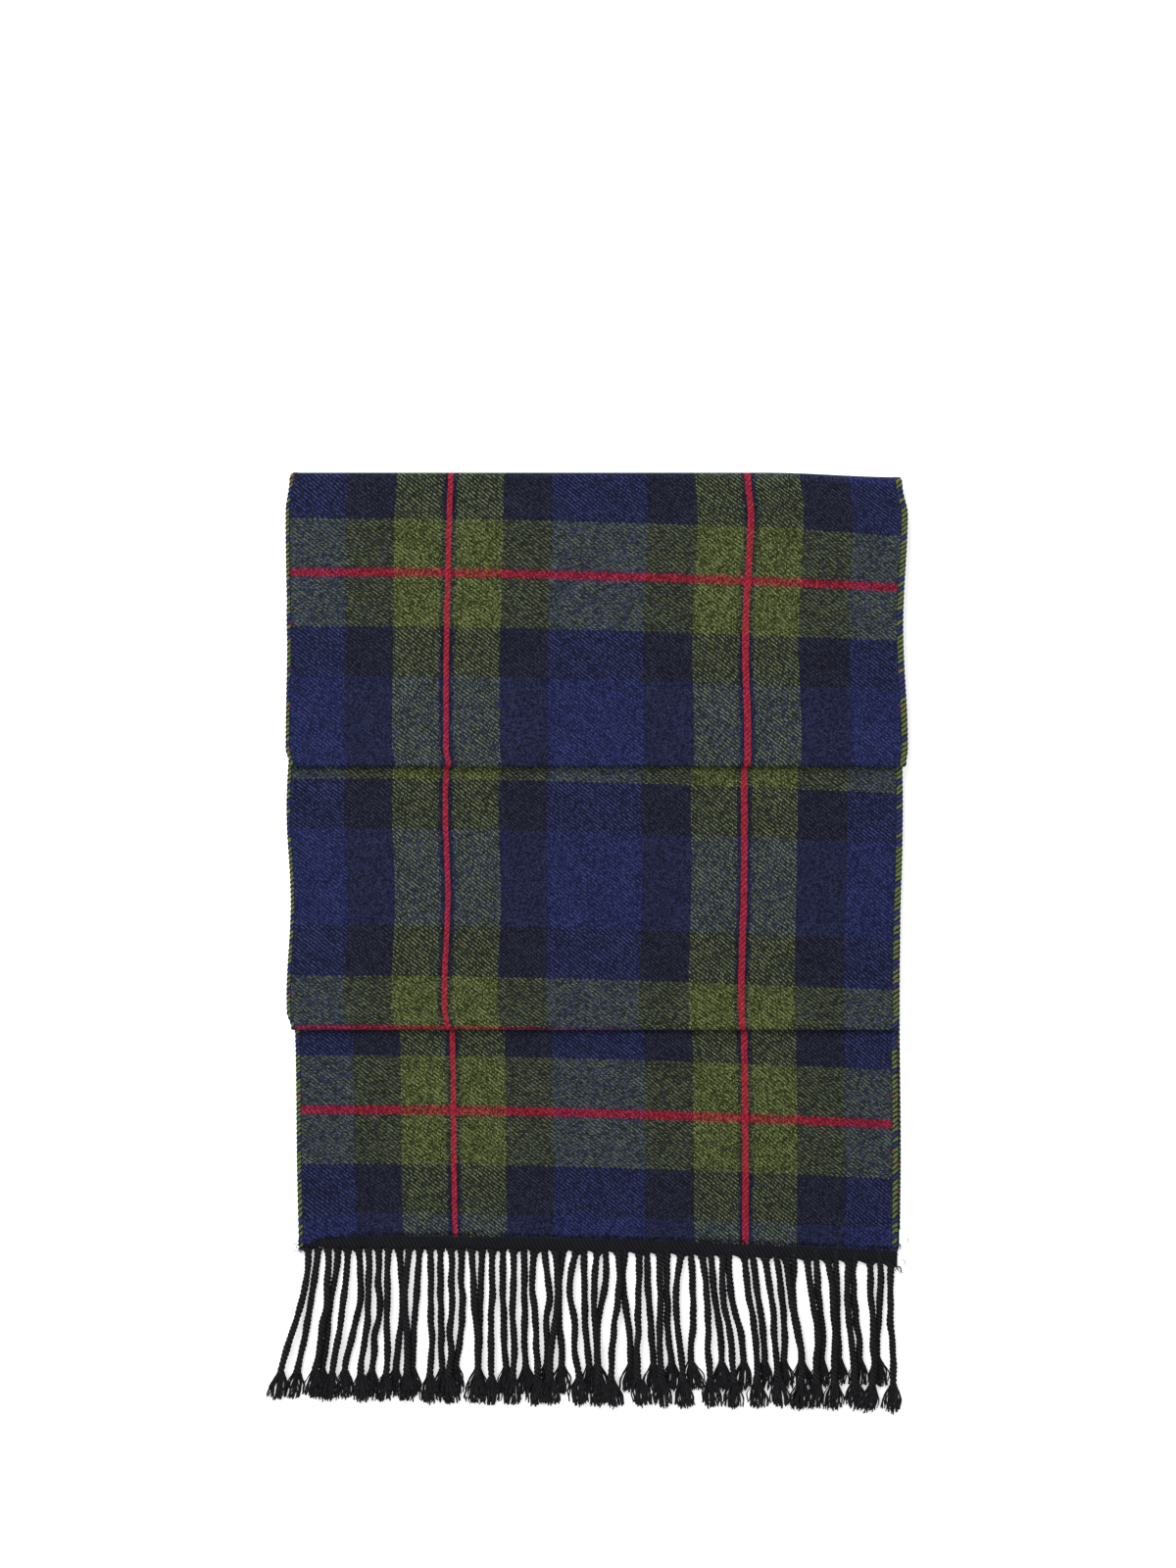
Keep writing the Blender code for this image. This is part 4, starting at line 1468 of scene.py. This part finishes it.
    def brush_strands(self) -> Shell:
        """Fans loose yarns out of the cord's end.

        A strand starts inside the cord and its sideways place grows with a smooth step of the place along it to
        its own share of the brush's width, with a slow sine for its curl; its radius falls by a fifth.

        Returns:
            All strands as one shell of closed tubes.
        """
        rng = np.random.default_rng(self.seed + 99)
        count, stations = self.strands, 10
        length = self.root[1] - self.tip[1]
        neck = 1 - (self.brush + 1.2 * MM) / length
        base = self.centre(np.array([neck]))[0]
        end = self.centre(np.array([1.0]))[0]
        spread = np.linspace(-1, 1, count)
        fan = spread ** 3 * 0.30 + spread * 0.70 + rng.normal(0, 0.08, count)
        lift = rng.uniform(-1, 1, count)
        reach = 0.97 + rng.normal(0, 0.045, count) - 0.10 * np.abs(fan) ** 2
        curl = rng.normal(0, 0.75 * MM, count)
        phase = rng.uniform(0, 2 * np.pi, (2, count, 1))
        t = np.linspace(0, 1, stations)[None, :]
        opened = smooth(t * 1.25 + 0.15)
        crimp = 0.30 * MM * np.sin(9 * t + phase[0]) * opened
        x = (base[0] + (end[0] - base[0]) * t + fan[:, None] * (0.75 * self.radius * (1 - opened)
             + self.brush_half_width * opened) + curl[:, None] * t ** 2 * np.sin(4 * t + phase[1]) + crimp)
        y = base[1] + (end[1] - base[1]) * t * reach[:, None]
        z = (base[2] + (self.brush_z - base[2]) * opened
             + lift[:, None] * (0.6 * self.radius * (1 - opened) + self.brush_half_height * opened))
        z = np.maximum(z, self.strand_radius)
        radius = self.strand_radius * (1.0 - 0.20 * t) * rng.uniform(0.8, 1.15, count)[:, None]
        return loose_yarns(np.stack((x, y, z), -1), radius, self.brush)

    def shell(self) -> Shell:
        """Makes the cord and its brush."""
        return Shell.joined((self.cord(), self.brush_strands()))


@dataclass(frozen=True)
class RowLie:
    """How a row of the fringe lies.

    Attributes:
        root_lift: of the roots above the middle of their leaf.
        cord_z, brush_z: the heights of the cords' and the brushes' middles.
        right_rise: how much shorter the row lies at its right end.
        first_seed: of its tassels' irregularities.
        paired: 1 if its tassels move up to the other row's, else 0.
    """

    root_lift: float
    cord_z: float
    brush_z: float
    right_rise: float
    first_seed: int
    paired: float


ROW_LIES = {Row.FRONT: RowLie(0.3 * MM, 3.9 * MM, 3.2 * MM, 0.0, 0, 0.0),
            Row.BACK: RowLie(0.5 * MM, 1.65 * MM, 1.15 * MM, 13.0 * MM, 500, 1.0)}


@dataclass
class Fringe:
    """One row of the fringe, tassel by tassel, between the header and the frame's tips.

    Attributes:
        row, header: which row it is, and what it hangs from.
        margin: from the header's end to the middle of the first tassel.
        root_inside: how far the roots start inside the header.
        bend_over: the stretch of yarn that bends when the row is lifted; not used.
        jitter_tip, jitter_bow: size of the seeded shifts.
        sway, sway_waves: of the tassels' bows across the row.
        sweep, sweep_middle, sweep_reach: the bell that sweeps tips to the right; its place in tassels.
        splay_inset, splay_reach, taper_reach: of the left end's splay and taper, in tassels.
        tip_inset: how far the tips stay inside the widest leaf's right side.
        left_rise: how much shorter the row lies at its left end.
        count: tassels in the front row.
        objects: the tassels made.
    """

    row: Row
    header: Header
    margin: float = 4.0 * MM
    root_inside: float = 1.3 * MM
    bend_over: float = 12.0 * MM
    jitter_tip: float = 1.9 * MM
    jitter_bow: float = 1.2 * MM
    sway: float = 1.2 * MM
    sway_waves: float = 1.5
    sweep: float = 7.0 * MM
    sweep_middle: float = 21.5
    sweep_reach: float = 4.0
    splay_inset: float = 4.0 * MM
    splay_reach: float = 2.5
    taper_reach: float = 3.0
    tip_inset: float = 3.0 * MM
    left_rise: float = 6.0 * MM
    count: int = 29
    objects: list[bpy.types.Object] = field(default_factory=list)

    def node_groups(self) -> list[tuple[str, list[float]]]:
        """Lists each CAD node of the row with the places of its tassels, in tassel spacings."""
        if self.row is Row.FRONT:
            return [(f"front_tassel_{k + 1:02d}", [float(k)]) for k in range(self.count)]
        return [(f"back_tassel_pair_{k + 1:02d}", [2 * k + 0.5, 2 * k + 1.5]) for k in range(self.count // 2)]

    def tassel(self, pile: Pile, index: float) -> TwistedTassel:
        """Places one tassel.

        Its tip follows the CAD tassel's, with a small seeded shift: splayed to the left by a decay from the left
        end, and swept to the right by a bell around one tassel.

        Args:
            pile: the cloth's sizes.
            index: its place along the header, in tassel spacings; the back row uses halves.

        Returns:
            The tassel.
        """
        lie = ROW_LIES[self.row]
        front, first = node_box("front_header"), node_box("front_tassel_01")
        spacing = (front[1, 0] - front[0, 0] - 2 * self.margin) / (self.count - 1)
        rng = np.random.default_rng(int(index * 2) + 11)
        share = index / (self.count - 1)
        crowd = lie.paired * (PAIRED - 0.5) * spacing * float(paired_part(np.array(share)))
        taper = END_TAPER * math.exp(-index / self.taper_reach)
        x = float(front[0, 0] + self.margin + index * spacing) + crowd + taper
        sweep = self.sweep * math.exp(-((index - self.sweep_middle) / self.sweep_reach) ** 2)
        splay = front[0, 0] + self.margin - first[0, 0] - self.splay_inset
        splay = taper + splay * math.exp(-index / self.splay_reach)
        at_end = index < 1 or index > self.count - 2
        tip_x = x + sweep - splay + rng.normal(0, self.jitter_tip) * (0.3 if at_end else 1.0)
        tip_x = min(tip_x, node_box("top_flap_upper_leaf")[1, 0] - self.tip_inset)
        rise = self.left_rise * (1 - share) + lie.right_rise * share
        tip_y = float(node_box(f"front_tassel_{self.count}")[0, 1] + rise + abs(rng.normal(0, 0.6 * MM)))
        root_y = float(self.header.place(pile, np.array([x]))[0]) + self.root_inside
        bow = self.sway * math.sin(2 * math.pi * self.sway_waves * index / self.count)
        bow = bow + rng.normal(0, self.jitter_bow)
        return TwistedTassel((x, root_y, pile.level_z[self.header.level] + lie.root_lift), (tip_x, tip_y), bow,
                             int(index * 2) + lie.first_seed, lie.cord_z, lie.brush_z)

    def build(self, pile: Pile, finishes: Finishes) -> None:
        """Makes each node's tassels as one object, with its placement baked into its mesh."""
        for node, places in self.node_groups():
            shell = Shell.joined([self.tassel(pile, place).shell() for place in places])
            obj = shell.to_object(f"twisted_{node}", finishes.fringe, 80.0)
            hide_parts(node)
            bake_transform(obj)
            self.objects.append(obj)


# ---- Studio ---------------------------------------------------------------------------------------------
@dataclass(frozen=True)
class Studio:
    """A plain pale floor, soft light, and a camera that looks straight down."""

    view_height: float = 0.8256
    view_centre_y: float = 83.3 * MM
    sensor: float = 36.0
    lens: float = 100.0
    floor_size: float = 8.0
    floor_glow: float = 0.38
    sky: float = 0.86
    key_power: float = 44.0
    key_size: float = 1.6
    key_place: tuple[float, float, float] = (-0.85, 1.55, 1.45)

    def build(self) -> None:
        """Makes the floor, the world, the lights and the camera."""
        half = self.floor_size / 2
        mesh = bpy.data.meshes.new("floor")
        corners = [(-half, -half, 0), (half, -half, 0), (half, half, 0), (-half, half, 0)]
        mesh.from_pydata(corners, [], [(0, 1, 2, 3)])
        floor = bpy.data.objects.new("floor", mesh)
        bpy.context.scene.collection.objects.link(floor)
        material, graph, shader = new_material("pale_floor")
        position = graph.make("ShaderNodeTexCoord", {}, "Object")
        tone = graph.between(graph.noise(position, 3.0), 0.0, 1.0, 0.93, 0.95)
        graph.feed(shader.inputs["Base Color"], graph.vector(tone, tone, tone))
        shader.inputs["Roughness"].default_value = 0.9
        shader.inputs["Emission Color"].default_value = (1.0, 1.0, 1.0, 1.0)
        shader.inputs["Emission Strength"].default_value = self.floor_glow
        mesh.materials.append(material)

        world = bpy.data.worlds.new("studio")
        world.use_nodes = True
        background = world.node_tree.nodes["Background"]
        background.inputs["Color"].default_value = (1.0, 1.0, 1.0, 1.0)
        background.inputs["Strength"].default_value = self.sky
        bpy.context.scene.world = world
        light = bpy.data.lights.new("key", "AREA")
        light.shape, light.size, light.energy = "DISK", self.key_size, self.key_power
        key = bpy.data.objects.new("key", light)
        key.location = self.key_place
        key.rotation_euler = (-key.location).to_track_quat("-Z", "Y").to_euler()
        bpy.context.scene.collection.objects.link(key)

        lens = bpy.data.cameras.new("camera")
        lens.sensor_fit, lens.lens = "VERTICAL", self.lens
        lens.sensor_height = lens.sensor_width = self.sensor
        camera = bpy.data.objects.new("camera", lens)
        camera.location = (0.0, self.view_centre_y, self.view_height * self.lens / self.sensor)
        bpy.context.scene.collection.objects.link(camera)
        bpy.context.scene.camera = camera
        bpy.context.scene.view_settings.view_transform = "Standard"


def main() -> None:
    """Builds the throw, piece by piece, and the studio around it."""
    logging.basicConfig(level=logging.INFO, format="%(message)s")
    pile, finishes = Pile(), Finishes.build()
    cloth = FoldedCloth(pile, finishes)
    cloth.build()
    extras: dict[str, list[bpy.types.Object]] = {}
    for row, level in ((Row.FRONT, 1), (Row.BACK, 0)):
        header = Header(row, level)
        header.build(pile, finishes)
        fringe = Fringe(row, header)
        fringe.build(pile, finishes)
        extras[f"{row.value}_leaf"] = [header.obj, *fringe.objects]
    cloth.move()
    cloth.declare(extras)
    Studio().build()


if __name__ == "__main__":
    main()
